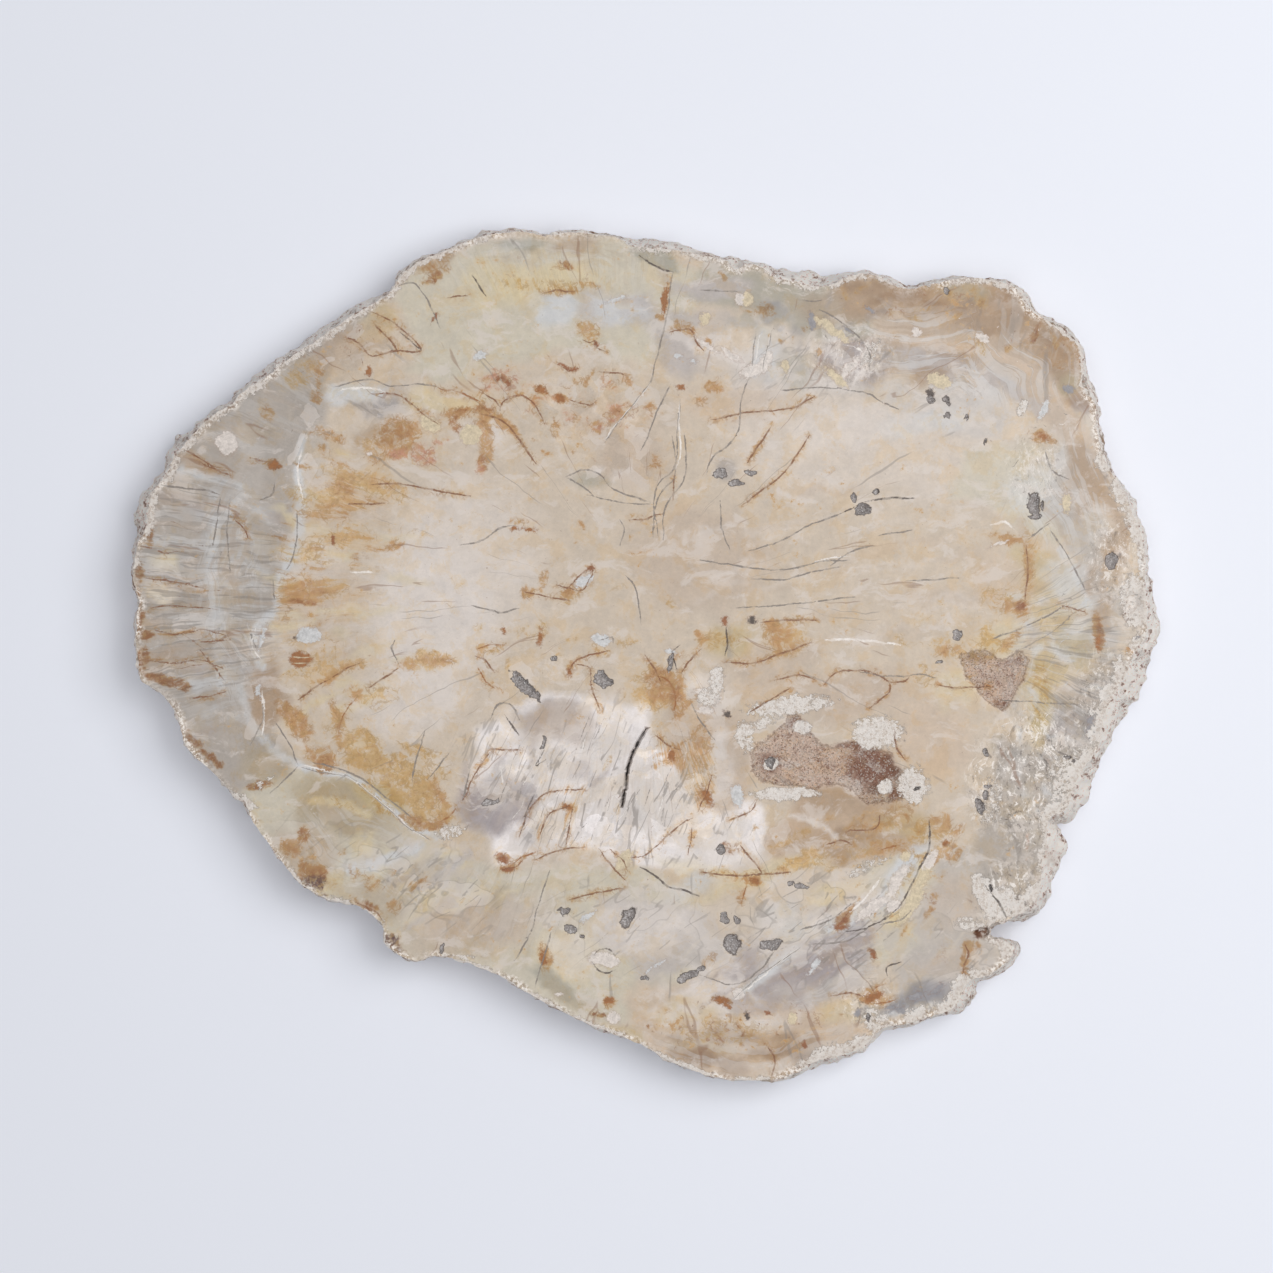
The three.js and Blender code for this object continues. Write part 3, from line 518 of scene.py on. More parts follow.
# Thin lines cut into the surface mesh: tint, width in pixels, strength, then one path for each line.
VEINS = (
    ("vein_grey", 1.7, 1.0, (
        (672, 436, 676, 460, 674, 478, 662, 492, 655, 510, 653, 538),
        (684, 434, 686, 458, 684, 480, 672, 496, 664, 512, 663, 540),
        (563, 478, 582, 470, 598, 474, 612, 488, 632, 496, 650, 502),
        (673, 272, 670, 290, 667, 315, 660, 345, 655, 365, 650, 382, 636, 402, 620, 420, 605, 442),
        (680, 400, 677, 430, 677, 455, 672, 472, 660, 481, 654, 500, 656, 520, 658, 537),
        (670, 385, 657, 412, 648, 436, 641, 450), (748, 551, 770, 545, 788, 537, 810, 525, 842, 513),
        (749, 378, 741, 400, 738, 432, 725, 448, 713, 457, 706, 476), (756, 332, 752, 365),
        (772, 330, 762, 370), (333, 387, 355, 382, 375, 380, 390, 386, 418, 384, 435, 386),
        (160, 485, 185, 488, 205, 490, 220, 495), (220, 497, 217, 520, 213, 545),
        (230, 497, 227, 530, 230, 575), (275, 480, 272, 495, 260, 500),
        (297, 510, 297, 535, 292, 560, 284, 572), (273, 582, 275, 602),
        (460, 545, 482, 540, 500, 528, 516, 525), (700, 560, 740, 566, 780, 570, 820, 562, 850, 560),
        (751, 579, 780, 580, 801, 575, 839, 567), (737, 608, 790, 604, 855, 597),
        (830, 566, 850, 552, 872, 546), (878, 536, 890, 533, 912, 530), (906, 581, 930, 580, 960, 578),
        (1045, 450, 1052, 470, 1070, 480), (1028, 540, 1050, 523), (1050, 530, 1070, 560, 1085, 590),
        (400, 667, 392, 650, 395, 640), (470, 605, 500, 612, 520, 608), (620, 520, 624, 530, 620, 545),
        (625, 575, 633, 585, 638, 600, 641, 625), (600, 640, 612, 637, 613, 645),
        (490, 720, 497, 706, 510, 704, 521, 722), (587, 495, 600, 498, 625, 503, 650, 504),
        (565, 477, 580, 485, 595, 497), (1050, 735, 1056, 750, 1080, 760),
        (1000, 700, 1030, 702, 1080, 705), (990, 640, 1040, 620, 1065, 605),
        (1020, 650, 1055, 630, 1075, 612), (400, 285, 412, 283, 420, 290, 430, 305, 440, 328),
        (720, 500, 722, 530, 730, 550), (800, 300, 815, 301, 822, 300),
        (780, 390, 830, 388, 865, 393, 880, 400, 898, 409), (855, 340, 868, 350, 870, 372),
        (820, 310, 845, 325, 870, 350), (262, 705, 262, 722, 250, 745), (275, 722, 290, 745, 298, 765),
        (298, 766, 285, 780, 270, 793),
        (300, 767, 320, 772, 350, 778, 370, 795, 390, 810, 405, 825, 430, 840),
        (310, 762, 335, 768, 360, 778, 385, 797, 412, 818), (425, 730, 418, 755, 412, 780),
        (450, 752, 440, 765, 427, 780), (470, 770, 462, 800), (550, 870, 540, 900, 530, 934, 514, 961),
        (551, 932, 541, 965, 535, 988), (700, 975, 735, 985, 760, 970, 775, 950),
        (735, 998, 760, 975, 790, 955, 800, 948), (808, 945, 830, 943, 850, 940, 868, 928),
        (800, 930, 830, 920, 850, 905), (880, 925, 900, 920, 910, 912), (690, 700, 700, 720, 715, 740),
        (860, 672, 880, 676, 900, 676, 920, 674, 935, 678), (700, 290, 740, 292))),
    ("vein_dark", 2.0, 1.1, (
        (842, 513, 868, 501, 890, 498, 914, 498), (725, 655, 727, 640, 726, 628),
        (929, 820, 929, 846, 920, 868, 909, 889, 898, 908, 880, 922), (880, 922, 865, 928, 845, 932),
        (887, 975, 886, 968, 893, 964, 901, 962), (505, 715, 513, 727, 519, 735),
        (544, 750, 536, 765, 545, 760), (534, 795, 527, 812, 521, 832), (250, 627, 252, 638, 257, 650),
        (640, 867, 655, 876, 668, 887, 685, 890, 699, 896), (400, 332, 410, 340, 421, 350),
        (680, 645, 672, 652, 676, 668), (594, 955, 600, 950, 609, 950, 616, 956),
        (592, 962, 597, 969, 606, 973, 615, 970), (985, 885, 1000, 905, 1008, 920),
        (472, 275, 480, 288, 486, 296), (673, 272, 655, 266, 640, 256))),
    ("straw", 1.6, 1.0, (
        (290, 657, 301, 657, 312, 657), (291, 663, 311, 663))),
    ("vein_brown", 1.8, 1.1, (
        (372, 312, 390, 320, 405, 332, 421, 350, 395, 351, 380, 355, 369, 355, 358, 343, 348, 338),
        (373, 323, 380, 330, 390, 340, 398, 352),
        (480, 414, 495, 418, 507, 425, 520, 440, 528, 452, 536, 464),
        (500, 410, 502, 402, 512, 397, 522, 396, 532, 402, 538, 412, 545, 425),
        (370, 394, 395, 394, 410, 403, 425, 415, 438, 424), (447, 298, 460, 296, 468, 296),
        (185, 450, 200, 458, 213, 466, 222, 468), (200, 462, 222, 472, 232, 476), (250, 458, 270, 462),
        (138, 546, 155, 549, 165, 553, 180, 551), (143, 578, 160, 580, 175, 582, 203, 588),
        (150, 608, 170, 606, 200, 608), (155, 630, 175, 634, 200, 630, 225, 635),
        (148, 660, 175, 663, 200, 660, 222, 668), (200, 650, 215, 668, 224, 680), (200, 642, 230, 640),
        (190, 698, 205, 697, 225, 692), (233, 517, 243, 528, 248, 538),
        (360, 663, 345, 670, 330, 679, 314, 688, 298, 700), (370, 485, 400, 484, 430, 490, 470, 496),
        (350, 504, 370, 504, 385, 503), (400, 667, 380, 680, 366, 690), (475, 656, 485, 660, 494, 672),
        (607, 651, 590, 655, 575, 662, 568, 672), (575, 664, 590, 668, 591, 685, 600, 710),
        (557, 585, 570, 588, 582, 590, 592, 575, 591, 568, 580, 575, 568, 589),
        (525, 592, 545, 596, 565, 600, 570, 601), (630, 520, 645, 519, 655, 515, 662, 514),
        (583, 340, 590, 343, 595, 341, 597, 348, 607, 352), (570, 400, 578, 403, 590, 405, 597, 400),
        (600, 372, 618, 373, 626, 376), (670, 332, 690, 329, 695, 340, 703, 350),
        (710, 420, 730, 416, 753, 412, 788, 409, 815, 396), (674, 475, 673, 500),
        (772, 425, 762, 440, 748, 462), (809, 436, 800, 450, 790, 465, 775, 481, 755, 495, 742, 505),
        (760, 623, 790, 620, 819, 620), (725, 662, 752, 663, 775, 656, 790, 650, 810, 643),
        (750, 712, 770, 700, 790, 688), (700, 650, 690, 660, 682, 672),
        (824, 685, 830, 677, 838, 672, 850, 670, 865, 671, 878, 675, 888, 682, 889, 692, 880, 700, 870, 708),
        (889, 683, 905, 681, 910, 676), (895, 728, 896, 745, 905, 760), (645, 655, 655, 670, 662, 685),
        (655, 735, 668, 745, 680, 750), (712, 775, 708, 790, 703, 800, 698, 812),
        (490, 749, 505, 750, 522, 750), (463, 800, 475, 775, 490, 752),
        (519, 837, 527, 815, 535, 803, 550, 792, 583, 789), (540, 835, 548, 815, 560, 809, 572, 806),
        (573, 806, 569, 828, 566, 845), (535, 860, 560, 850, 586, 847),
        (628, 858, 645, 855, 655, 848, 668, 835, 680, 825, 693, 818), (569, 900, 595, 893, 624, 888),
        (600, 850, 615, 870, 625, 880), (610, 849, 622, 860, 628, 872), (692, 825, 691, 840, 688, 855),
        (730, 820, 750, 812, 757, 800), (740, 845, 753, 860, 762, 874), (700, 872, 740, 876, 790, 872),
        (831, 996, 850, 993, 866, 997), (965, 945, 968, 955, 963, 968, 966, 976),
        (845, 835, 850, 830, 875, 828, 880, 815), (825, 845, 840, 840, 852, 845),
        (775, 680, 800, 675, 815, 680), (938, 685, 960, 688, 990, 686), (1060, 605, 1085, 612),
        (355, 902, 375, 912, 382, 920), (1026, 545, 1028, 570, 1025, 600), (480, 392, 495, 400, 500, 408),
        (545, 293, 555, 290, 565, 292, 575, 291), (767, 1046, 775, 1060, 772, 1075))),
    ("chalk", 2.6, 1.0, (
        (650, 384, 634, 404, 618, 422, 606, 438), (679, 402, 679, 430, 680, 455, 676, 468),
        (338, 392, 350, 388, 370, 388, 385, 392), (302, 450, 298, 470, 303, 500),
        (262, 690, 264, 712, 262, 735), (256, 628, 252, 645, 262, 660), (815, 561, 850, 556),
        (302, 765, 322, 770, 352, 779, 372, 795, 392, 811, 407, 826, 425, 838),
        (738, 996, 760, 978, 785, 958, 798, 948), (760, 335, 752, 370, 745, 380), (770, 335, 764, 368),
        (990, 525, 1005, 522, 1015, 530), (845, 345, 860, 350, 872, 365), (825, 640, 860, 640, 900, 645),
        (350, 572, 375, 572), (880, 878, 868, 895, 850, 912))),
    ("ochre_deep", 2.0, 0.9, (
        (435, 386, 445, 390, 455, 389), (455, 391, 470, 397, 482, 402),
        (357, 697, 348, 708, 341, 720, 337, 738), (440, 822, 450, 815, 456, 808),
        (866, 998, 875, 988, 885, 984), (866, 1002, 880, 1003, 895, 1000), (668, 278, 666, 300, 663, 318),
        (540, 850, 520, 858, 510, 866), (900, 845, 880, 850), (478, 668, 485, 682, 498, 690),
        (474, 650, 490, 645, 505, 645), (655, 675, 668, 680, 675, 695, 674, 715), (740, 905, 747, 885))),
    ("black", 2.5, 1.2, (
        CRACK,)),
    ("rust", 2.2, 1.0, (
        (550, 360, 560, 366, 570, 370, 577, 368), (508, 397, 520, 395, 531, 400),
        (605, 651, 588, 656, 574, 663, 567, 675), (580, 575, 590, 567, 593, 574),
        (350, 902, 362, 906, 372, 913), (500, 870, 515, 866, 523, 860), (837, 932, 842, 922, 850, 910))),
)

# Families of short strokes drawn from a fixed seed: tint, pixel width, strength, number, patch (middle,
# length, width, turn), stroke length, its turn, spread of the turn and curl, the last three in degrees.
STROKES = (
    ("vein_grey", 1.3, 0.8, 14, (590, 785, 200, 90, 10), 26, 68, 9, 8),
    ("vein_grey", 1.2, 0.6, 10, (700, 800, 110, 100, 0), 20, 62, 18, 16),
    ("vein_dark", 1.3, 0.8, 12, (560, 790, 150, 90, 10), 12, 66, 12, 10),
    ("vein_brown", 1.5, 0.7, 18, (620, 830, 180, 60, -10), 14, 60, 40, 25),
    ("vein_grey", 1.2, 0.5, 40, (200, 590, 150, 260, 0), 34, None, 5, 5),
    ("vein_brown", 1.3, 0.7, 22, (185, 610, 110, 170, 0), 34, None, 6, 8),
    ("vein_grey", 1.3, 0.6, 16, (235, 620, 50, 180, 0), 20, 88, 10, 8),
    ("vein_grey", 1.3, 0.55, 26, (310, 440, 60, 90, 0), 16, 75, 18, 20),
    ("vein_grey", 1.2, 0.6, 40, (1065, 650, 80, 130, 0), 18, 32, 18, 10),
    ("vein_grey", 1.3, 0.65, 30, (1060, 725, 90, 60, 0), 18, 5, 30, 14),
    ("vein_dark", 1.5, 0.8, 34, (1025, 790, 110, 130, 0), 7, 65, 50, 40),
    ("chalk", 1.8, 0.9, 34, (1035, 780, 110, 150, 0), 12, 60, 50, 50),
    ("vein_brown", 1.4, 0.6, 16, (560, 405, 120, 60, -10), 8, -10, 50, 60),
    ("vein_brown", 1.3, 0.5, 10, (610, 460, 80, 50, 0), 9, -10, 60, 60),
    ("vein_brown", 1.5, 0.8, 44, (740, 1025, 170, 50, 0), 6, 60, 70, 60),
    ("ochre_deep", 1.5, 0.5, 20, (940, 315, 170, 50, -10), 6, 60, 70, 50),
    ("vein_brown", 1.3, 0.45, 14, (880, 420, 170, 60, 0), 8, 70, 60, 40),
    ("vein_brown", 1.3, 0.6, 16, (530, 280, 140, 30, 0), 7, -20, 70, 60),
    ("vein_grey", 1.2, 0.4, 10, (600, 570, 320, 160, 0), 26, None, 14, 12),
    ("vein_grey", 1.2, 0.4, 12, (860, 600, 220, 110, 0), 30, 8, 10, 10),
    ("vein_grey", 1.3, 0.6, 26, (1020, 880, 60, 110, 0), 12, 60, 40, 30),
    ("vein_brown", 1.4, 0.7, 18, (330, 350, 90, 60, 35), 10, -40, 40, 40),
    ("vein_grey", 1.4, 0.5, 12, (480, 920, 170, 60, -15), 22, 55, 14, 14),
    ("vein_brown", 1.4, 0.6, 14, (840, 905, 90, 60, 30), 10, 50, 50, 40),
    ("ochre_deep", 1.5, 0.5, 22, (340, 580, 100, 260, 0), 20, None, 8, 14),
    ("vein_grey", 1.2, 0.6, 20, (860, 350, 80, 60, 0), 12, 60, 40, 30),
    ("chalk", 1.3, 0.7, 34, (985, 325, 190, 60, -14), 5, 60, 70, 60),
    ("umber", 1.3, 0.7, 26, (1000, 325, 190, 70, -18), 5, 60, 70, 60),
    ("vein_grey", 1.3, 0.7, 18, (1045, 450, 60, 100, -35), 9, -50, 40, 40),
    ("chalk", 1.6, 0.8, 18, (1055, 460, 60, 110, -35), 12, -55, 30, 30),
    ("chalk", 1.8, 0.8, 24, (600, 790, 220, 90, 10), 26, 66, 9, 8),
    ("bluish_white", 1.6, 0.6, 26, (1060, 680, 90, 160, 0), 20, 20, 25, 12),
    ("bluish_white", 1.6, 0.6, 22, (200, 590, 150, 260, 0), 34, None, 5, 5),
)

# Where the ray grain of the wood shows: middle, length, width, turn and strength.
GRAIN = (
    (200, 590, 190, 260, 0, 1.0), (1070, 650, 120, 170, 0, 1.0), (270, 400, 150, 90, 40, 0.6),
    (550, 270, 260, 60, 0, 0.5), (600, 790, 260, 110, 10, 0.5), (1000, 320, 200, 60, -20, 0.7),
    (1060, 780, 90, 120, 0, 0.6), (480, 900, 240, 90, -15, 0.5), (350, 560, 90, 220, 0, 0.35))

# Colour of the rough wall round the slice: tint, then middle, length, width, turn and strength.
BARK = {
    "bark_tan": (
        (140, 590, 60, 240, 0, 0.4), (240, 790, 160, 60, -50, 0.5), (500, 985, 260, 60, -20, 0.7),
        (720, 1080, 200, 40, 0, 0.6), (1060, 320, 130, 60, -45, 0.8), (430, 250, 120, 30, 20, 0.5),
        (560, 230, 130, 20, 0, 0.6)),
    "tan": (
        (1060, 330, 110, 70, -45, 1.0), (960, 270, 140, 30, 0, 0.8), (600, 1020, 140, 40, -25, 0.4),
        (1095, 420, 60, 120, -20, 0.9),
        (420, 960, 80, 30, 0, 0.5), (135, 640, 30, 90, 0, 0.5)),
    "ochre_deep": (
        (138, 590, 40, 120, 0, 0.7), (150, 690, 60, 40, 0, 0.7), (270, 840, 60, 120, 30, 0.6),
        (350, 905, 110, 30, -15, 0.8), (400, 950, 50, 40, -20, 0.6)),
    "umber": (
        (1004, 930, 44, 30, 0, 0.9), (312, 890, 50, 30, -20, 0.9), (395, 945, 40, 40, 0, 0.8),
        (1075, 350, 60, 90, -45, 0.5),
        (350, 905, 60, 14, -20, 0.6)),
    "peach": (
),
    "chalk_grey": (
        (1070, 860, 50, 120, 0, 0.4),),
}

# Where a texture shows: ray grain, growth layers along the rim, a fine net of cracks, shattered stone, the
# grain of the white net, a slanting grain, and brown flecks. Each place is a middle, length, width, turn
# and strength.
TRAITS = {
    "grain": GRAIN,
    "band": (
        (960, 355, 260, 80, -12, 1.0), (228, 590, 60, 240, 0, 0.8), (760, 1045, 240, 60, 0, 0.7),
        (350, 850, 140, 90, -20, 0.6), (1080, 480, 90, 160, -30, 0.8), (560, 250, 200, 30, 0, 0.5),
        (820, 960, 140, 90, 20, 0.6), (1030, 700, 60, 200, 0, 0.5)),
    "crackle": (
        (600, 790, 280, 130, 10, 1.0), (600, 410, 150, 90, 0, 0.8), (620, 470, 100, 60, 0, 0.7),
        (740, 840, 120, 90, 0, 0.7), (1040, 760, 90, 60, 0, 0.9), (850, 350, 80, 60, 0, 0.8),
        (310, 450, 70, 110, 0, 0.8), (260, 720, 60, 90, 0, 0.8), (540, 680, 140, 60, 0, 0.7),
        (700, 700, 70, 70, 0, 0.8), (840, 900, 110, 80, 20, 0.6), (1060, 660, 90, 120, 0, 0.5),
        (340, 350, 120, 70, 35, 0.7), (390, 410, 110, 60, 0, 0.5), (1020, 900, 60, 80, 0, 0.8),
        (220, 620, 130, 120, 0, 0.5)),
    "broken": (
        (1045, 785, 110, 150, 10, 1.0), (1010, 900, 70, 80, 0, 1.0), (985, 785, 40, 90, 0, 0.9),
        (1095, 700, 40, 110, -10, 0.7), (850, 355, 90, 60, 0, 0.5), (1112, 560, 50, 90, 0, 0.7),
        (1035, 470, 60, 70, 0, 0.5), (870, 1005, 60, 40, 0, 0.7)),
    "net": (
        (600, 795, 230, 110, 8, 1.0), (700, 840, 130, 70, 0, 0.8), (500, 750, 90, 80, 0, 0.7),
        (600, 720, 110, 50, 0, 0.6)),
    "slant": (
        (640, 930, 220, 100, -10, 0.6), (830, 930, 200, 130, 0, 0.9), (430, 880, 170, 90, -25, 0.8),
        (960, 950, 120, 90, 0, 0.6), (330, 840, 110, 70, -20, 0.5), (790, 370, 130, 80, 0, 0.5)),
    "fleck": (
        (740, 1025, 200, 60, 0, 1.0), (960, 315, 200, 60, -10, 0.9), (1060, 350, 60, 90, -35, 0.6),
        (600, 410, 150, 80, 0, 0.7), (500, 380, 80, 50, 0, 0.8), (340, 560, 110, 240, 0, 0.5),
        (540, 275, 170, 50, 0, 0.6), (600, 450, 110, 60, 0, 0.6), (840, 890, 120, 60, 20, 0.6),
        (330, 350, 110, 70, 35, 0.6), (650, 690, 80, 60, 0, 0.6), (960, 960, 110, 60, 20, 0.5),
        (1040, 790, 90, 90, 0, 0.5), (920, 890, 60, 60, 40, 0.8)),
}

# Families of small patches drawn from a fixed seed: layer, tint, number, patch (middle, length, width,
# turn), then the usual length, width, turn (None follows the wood's rays), its spread and strength.
SCATTER = (
    ("stain", "ochre", 26, (325, 540, 90, 230, 0), 34, 8, None, 5, 0.65),
    ("stain", "ochre_pale", 26, (345, 590, 130, 320, 0), 50, 16, None, 5, 0.55),
    ("ground", "yellow_cream", 24, (345, 610, 140, 320, 0), 46, 10, None, 6, 0.5),
    ("ground", "bluish_white", 24, (225, 590, 130, 300, 0), 40, 9, None, 4, 0.4),
    ("ground", "lilac_deep", 14, (215, 590, 150, 300, 0), 40, 9, None, 4, 0.25),
    ("ground", "tan", 18, (170, 560, 90, 240, 0), 34, 9, None, 5, 0.35),
    ("ground", "shell_white", 26, (600, 790, 250, 120, 8), 56, 16, 66, 8, 0.8),
    ("ground", "lilac_deep", 9, (540, 790, 190, 90, 8), 30, 14, 60, 20, 0.5),
    ("stain", "ochre_pale", 6, (660, 800, 190, 110, 0), 26, 6, 60, 25, 0.5),
    ("ground", "lilac_deep", 12, (790, 950, 200, 90, 20), 50, 18, 35, 10, 0.5),
    ("ground", "shell_white", 14, (780, 930, 250, 120, 15), 44, 14, 35, 10, 0.6),
    ("stain", "ochre_pale", 30, (960, 310, 260, 70, -15), 20, 8, -10, 40, 0.65),
    ("ground", "tan_deep", 32, (960, 305, 250, 66, -14), 34, 8, -10, 20, 0.6),
    ("stain", "ochre", 14, (1072, 360, 40, 130, 35), 16, 7, -50, 30, 0.6),
    ("ground", "olive", 26, (1045, 730, 110, 230, 10), 22, 9, 40, 30, 0.4),
    ("ground", "bluish_white", 34, (1050, 700, 110, 250, 5), 24, 7, None, 12, 0.6),
    ("ground", "lilac", 24, (700, 315, 160, 90, -10), 30, 12, -5, 20, 0.5),
    ("ground", "shell_white", 16, (790, 355, 180, 60, 0), 22, 7, 50, 40, 0.6),
    ("ground", "blue_grey", 16, (820, 340, 170, 70, 0), 18, 8, 40, 40, 0.4),
    ("stain", "ochre", 12, (740, 315, 230, 110, 0), 10, 5, 0, 60, 0.8),
    ("stain", "ochre_pale", 22, (560, 600, 220, 150, 0), 24, 8, 0, 60, 0.5),
    ("stain", "ochre", 16, (600, 480, 200, 160, 0), 11, 5, 0, 60, 0.7),
    ("stain", "rust_pink", 18, (590, 400, 140, 70, 0), 18, 9, -20, 50, 0.5),
    ("stain", "ochre", 18, (600, 405, 140, 80, 0), 16, 8, 0, 60, 0.7),
    ("ground", "shell_white", 14, (610, 430, 140, 100, 0), 22, 9, 0, 60, 0.45),
    ("stain", "rust", 30, (740, 1025, 210, 66, 0), 8, 4, 60, 60, 0.7),
    ("ground", "shell_white", 22, (740, 1003, 210, 46, 0), 24, 10, 0, 60, 0.6),
    ("ground", "tan_deep", 16, (745, 1050, 170, 36, 0), 44, 12, 0, 15, 0.55),
    ("ground", "olive", 24, (430, 910, 230, 110, -15), 40, 10, 50, 12, 0.4),
    ("ground", "yellow_cream", 24, (420, 890, 250, 120, -15), 36, 10, 50, 12, 0.5),
    ("stain", "ochre", 14, (370, 880, 160, 60, -20), 18, 8, 50, 40, 0.7),
    ("ground", "tan_core", 16, (860, 570, 290, 180, 0), 90, 12, 10, 5, 0.35),
    ("ground", "shell_white", 20, (850, 560, 290, 180, 0), 80, 7, 10, 5, 0.35),
    ("stain", "ochre_pale", 24, (860, 845, 170, 60, 5), 36, 9, 10, 15, 0.7),
    ("ground", "tan_deep", 14, (850, 840, 150, 50, 5), 44, 8, 8, 12, 0.4),
    ("stain", "ochre", 16, (925, 875, 80, 130, -40), 18, 8, 50, 20, 0.7),
    ("stain", "gold", 16, (400, 780, 120, 70, -35), 34, 12, -35, 20, 0.8),
    ("stain", "ochre", 18, (675, 715, 50, 150, 0), 20, 7, 75, 30, 0.8),
    ("stain", "ochre_pale", 18, (950, 650, 120, 90, 0), 24, 8, 10, 40, 0.6),
)

# Soft bands of ground colour along a path: tint, width and strength, then the path.
RIBBONS = (
    ("bluish_white", 10, 0.8, (302, 440, 298, 470, 302, 508, 296, 546, 283, 572, 275, 606, 262, 622,
        254, 640, 262, 664)),
    ("lilac_deep", 44, 0.55, (475, 806, 500, 797, 522, 800)),
    ("tan", 34, 0.35, (535, 728, 560, 724, 580, 730)),
    ("lilac_deep", 34, 0.5, (800, 972, 838, 957, 860, 944)),
    ("blue_grey", 16, 0.55, (890, 1010, 930, 998, 962, 992)),
    ("bluish_white", 9, 0.6, (240, 685, 248, 716, 264, 740, 282, 756, 297, 765)),
    ("bluish_white", 6, 1.0, (298, 766, 320, 772, 350, 778, 372, 793, 395, 812, 412, 826, 440, 838)),
    ("bluish_white", 12, 0.45, (215, 495, 212, 560, 218, 620, 222, 690)),
    ("shell_white", 7, 0.8, (690, 345, 712, 352, 735, 362, 755, 374)),
    ("bluish_white", 9, 0.8, (765, 332, 757, 355, 752, 374)),
    ("shell_white", 6, 0.8, (850, 388, 862, 372, 872, 355, 880, 342)),
    ("lilac", 14, 0.7, (888, 354, 925, 360, 965, 369, 1005, 385, 1040, 412)),
    ("peach", 8, 0.8, (895, 342, 950, 345, 1000, 356, 1040, 378, 1072, 412, 1095, 450)),
    ("olive", 9, 0.7, (300, 810, 325, 811, 350, 819, 372, 827)),
    ("yellow_cream", 8, 0.6, (310, 800, 340, 803, 368, 815)),
    ("bluish_white", 13, 0.9, (352, 870, 385, 859, 418, 846)),
    ("lilac", 9, 0.7, (420, 890, 450, 870, 470, 850)),
    ("yellow_cream", 9, 0.7, (445, 912, 465, 900, 482, 890)),
    ("lilac", 7, 0.6, (400, 930, 430, 915, 455, 905)),
    ("bluish_white", 14, 0.95, (910, 856, 893, 882, 878, 902, 860, 915, 832, 926)),
    ("yellow_cream", 13, 0.85, (926, 862, 918, 882, 905, 905, 888, 925)),
    ("lilac_deep", 9, 0.6, (800, 947, 830, 937, 862, 922)),
    ("shell_white", 7, 0.8, (810, 925, 835, 912, 860, 900)),
    ("bluish_white", 10, 0.85, (738, 995, 765, 975, 798, 948)),
    ("grey_green", 7, 0.8, (632, 250, 655, 264, 676, 272)),
    ("tan", 9, 0.7, (1069, 449, 1090, 480, 1112, 505, 1127, 540)),
    ("bluish_white", 8, 0.6, (1058, 548, 1075, 575, 1088, 605)),
    ("ring_pale", 6, 0.6, (1100, 560, 1095, 610, 1100, 660)),
    ("yellow_olive", 8, 0.7, (1040, 730, 1043, 700, 1038, 660)),
    ("tan_core", 10, 0.6, (1022, 520, 1030, 560, 1026, 610)),
    ("shell_white", 8, 0.7, (530, 770, 560, 800, 600, 790, 650, 770)),
    ("shell_white", 6, 0.7, (790, 815, 820, 825, 835, 838)),
    ("blue_grey", 4, 0.6, (905, 1008, 930, 998, 960, 990)),
    ("bluish_white", 6, 0.6, (880, 1018, 930, 1008, 970, 998)),
    ("bluish_white", 9, 0.6, (180, 470, 205, 477, 240, 486)),
    ("bluish_white", 10, 0.7, (333, 388, 355, 392, 380, 394)),
)


def part_scale():
    """A pixel's size in metres and the part place of the picture's first pixel, from the CAD wall's top."""
    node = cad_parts[NODE]
    places = np.array([vertex.co[:] for vertex in node.data.vertices])
    top = places[places[:, 2] > places[:, 2].max() - LEVEL]
    left, right = top[:, 0].min(), top[:, 0].max()
    low, high = top[:, 1].min(), top[:, 1].max()
    pixel = (right - left) / (FACE_RIGHT - FACE_LEFT)
    middle = (low + high) / 2
    return pixel, left - FACE_LEFT * pixel, middle + pixel * (FACE_TOP + FACE_BOTTOM) / 2


PIXEL, PICTURE_X, PICTURE_Y = part_scale()
PIXEL_MM = PIXEL / MILLIMETRE


def pixels(length):
    """A length in metres as picture pixels."""
    return length / MILLIMETRE / PIXEL_MM


def to_part(spots):
    """Picture pixels as part places in metres."""
    spots = np.asarray(spots, dtype=float)
    return np.column_stack((PICTURE_X + spots[:, 0] * PIXEL, PICTURE_Y - spots[:, 1] * PIXEL))


def to_picture(places):
    """Part places in metres as picture pixels."""
    return np.column_stack(((places[:, 0] - PICTURE_X) / PIXEL, (PICTURE_Y - places[:, 1]) / PIXEL))


def smooth_step(low, high, values):
    """0 below low and 1 above high, with a soft ramp between them."""
    share = np.clip((values - low) / (high - low), 0, 1)
    return share * share * (3 - 2 * share)


def field(spots, size, seed, octaves=3):
    """Smooth noise from about -1 to 1 at 2-D spots, with features of the given size."""
    level = seed * 7.31
    return np.array([noise.fractal(Vector((x / size, y / size, level)), 1.0, 2.0, octaves) for x, y in spots])


def closed_loops(mesh):
    """The open borders of a mesh as ordered lists of vertices."""
    follow = {}
    for edge in mesh.edges:
        if len(edge.link_faces) == 1:
            first, second = edge.verts
            follow.setdefault(first, []).append(second)
            follow.setdefault(second, []).append(first)
    loops = []
    while follow:
        start = next(iter(follow))
        loop = [start]
        here = follow.pop(start)[0]
        while here in follow:
            loop.append(here)
            ways = follow.pop(here)
            here = ways[0] if ways[0] in follow else ways[1]
        loops.append(loop)
    return loops


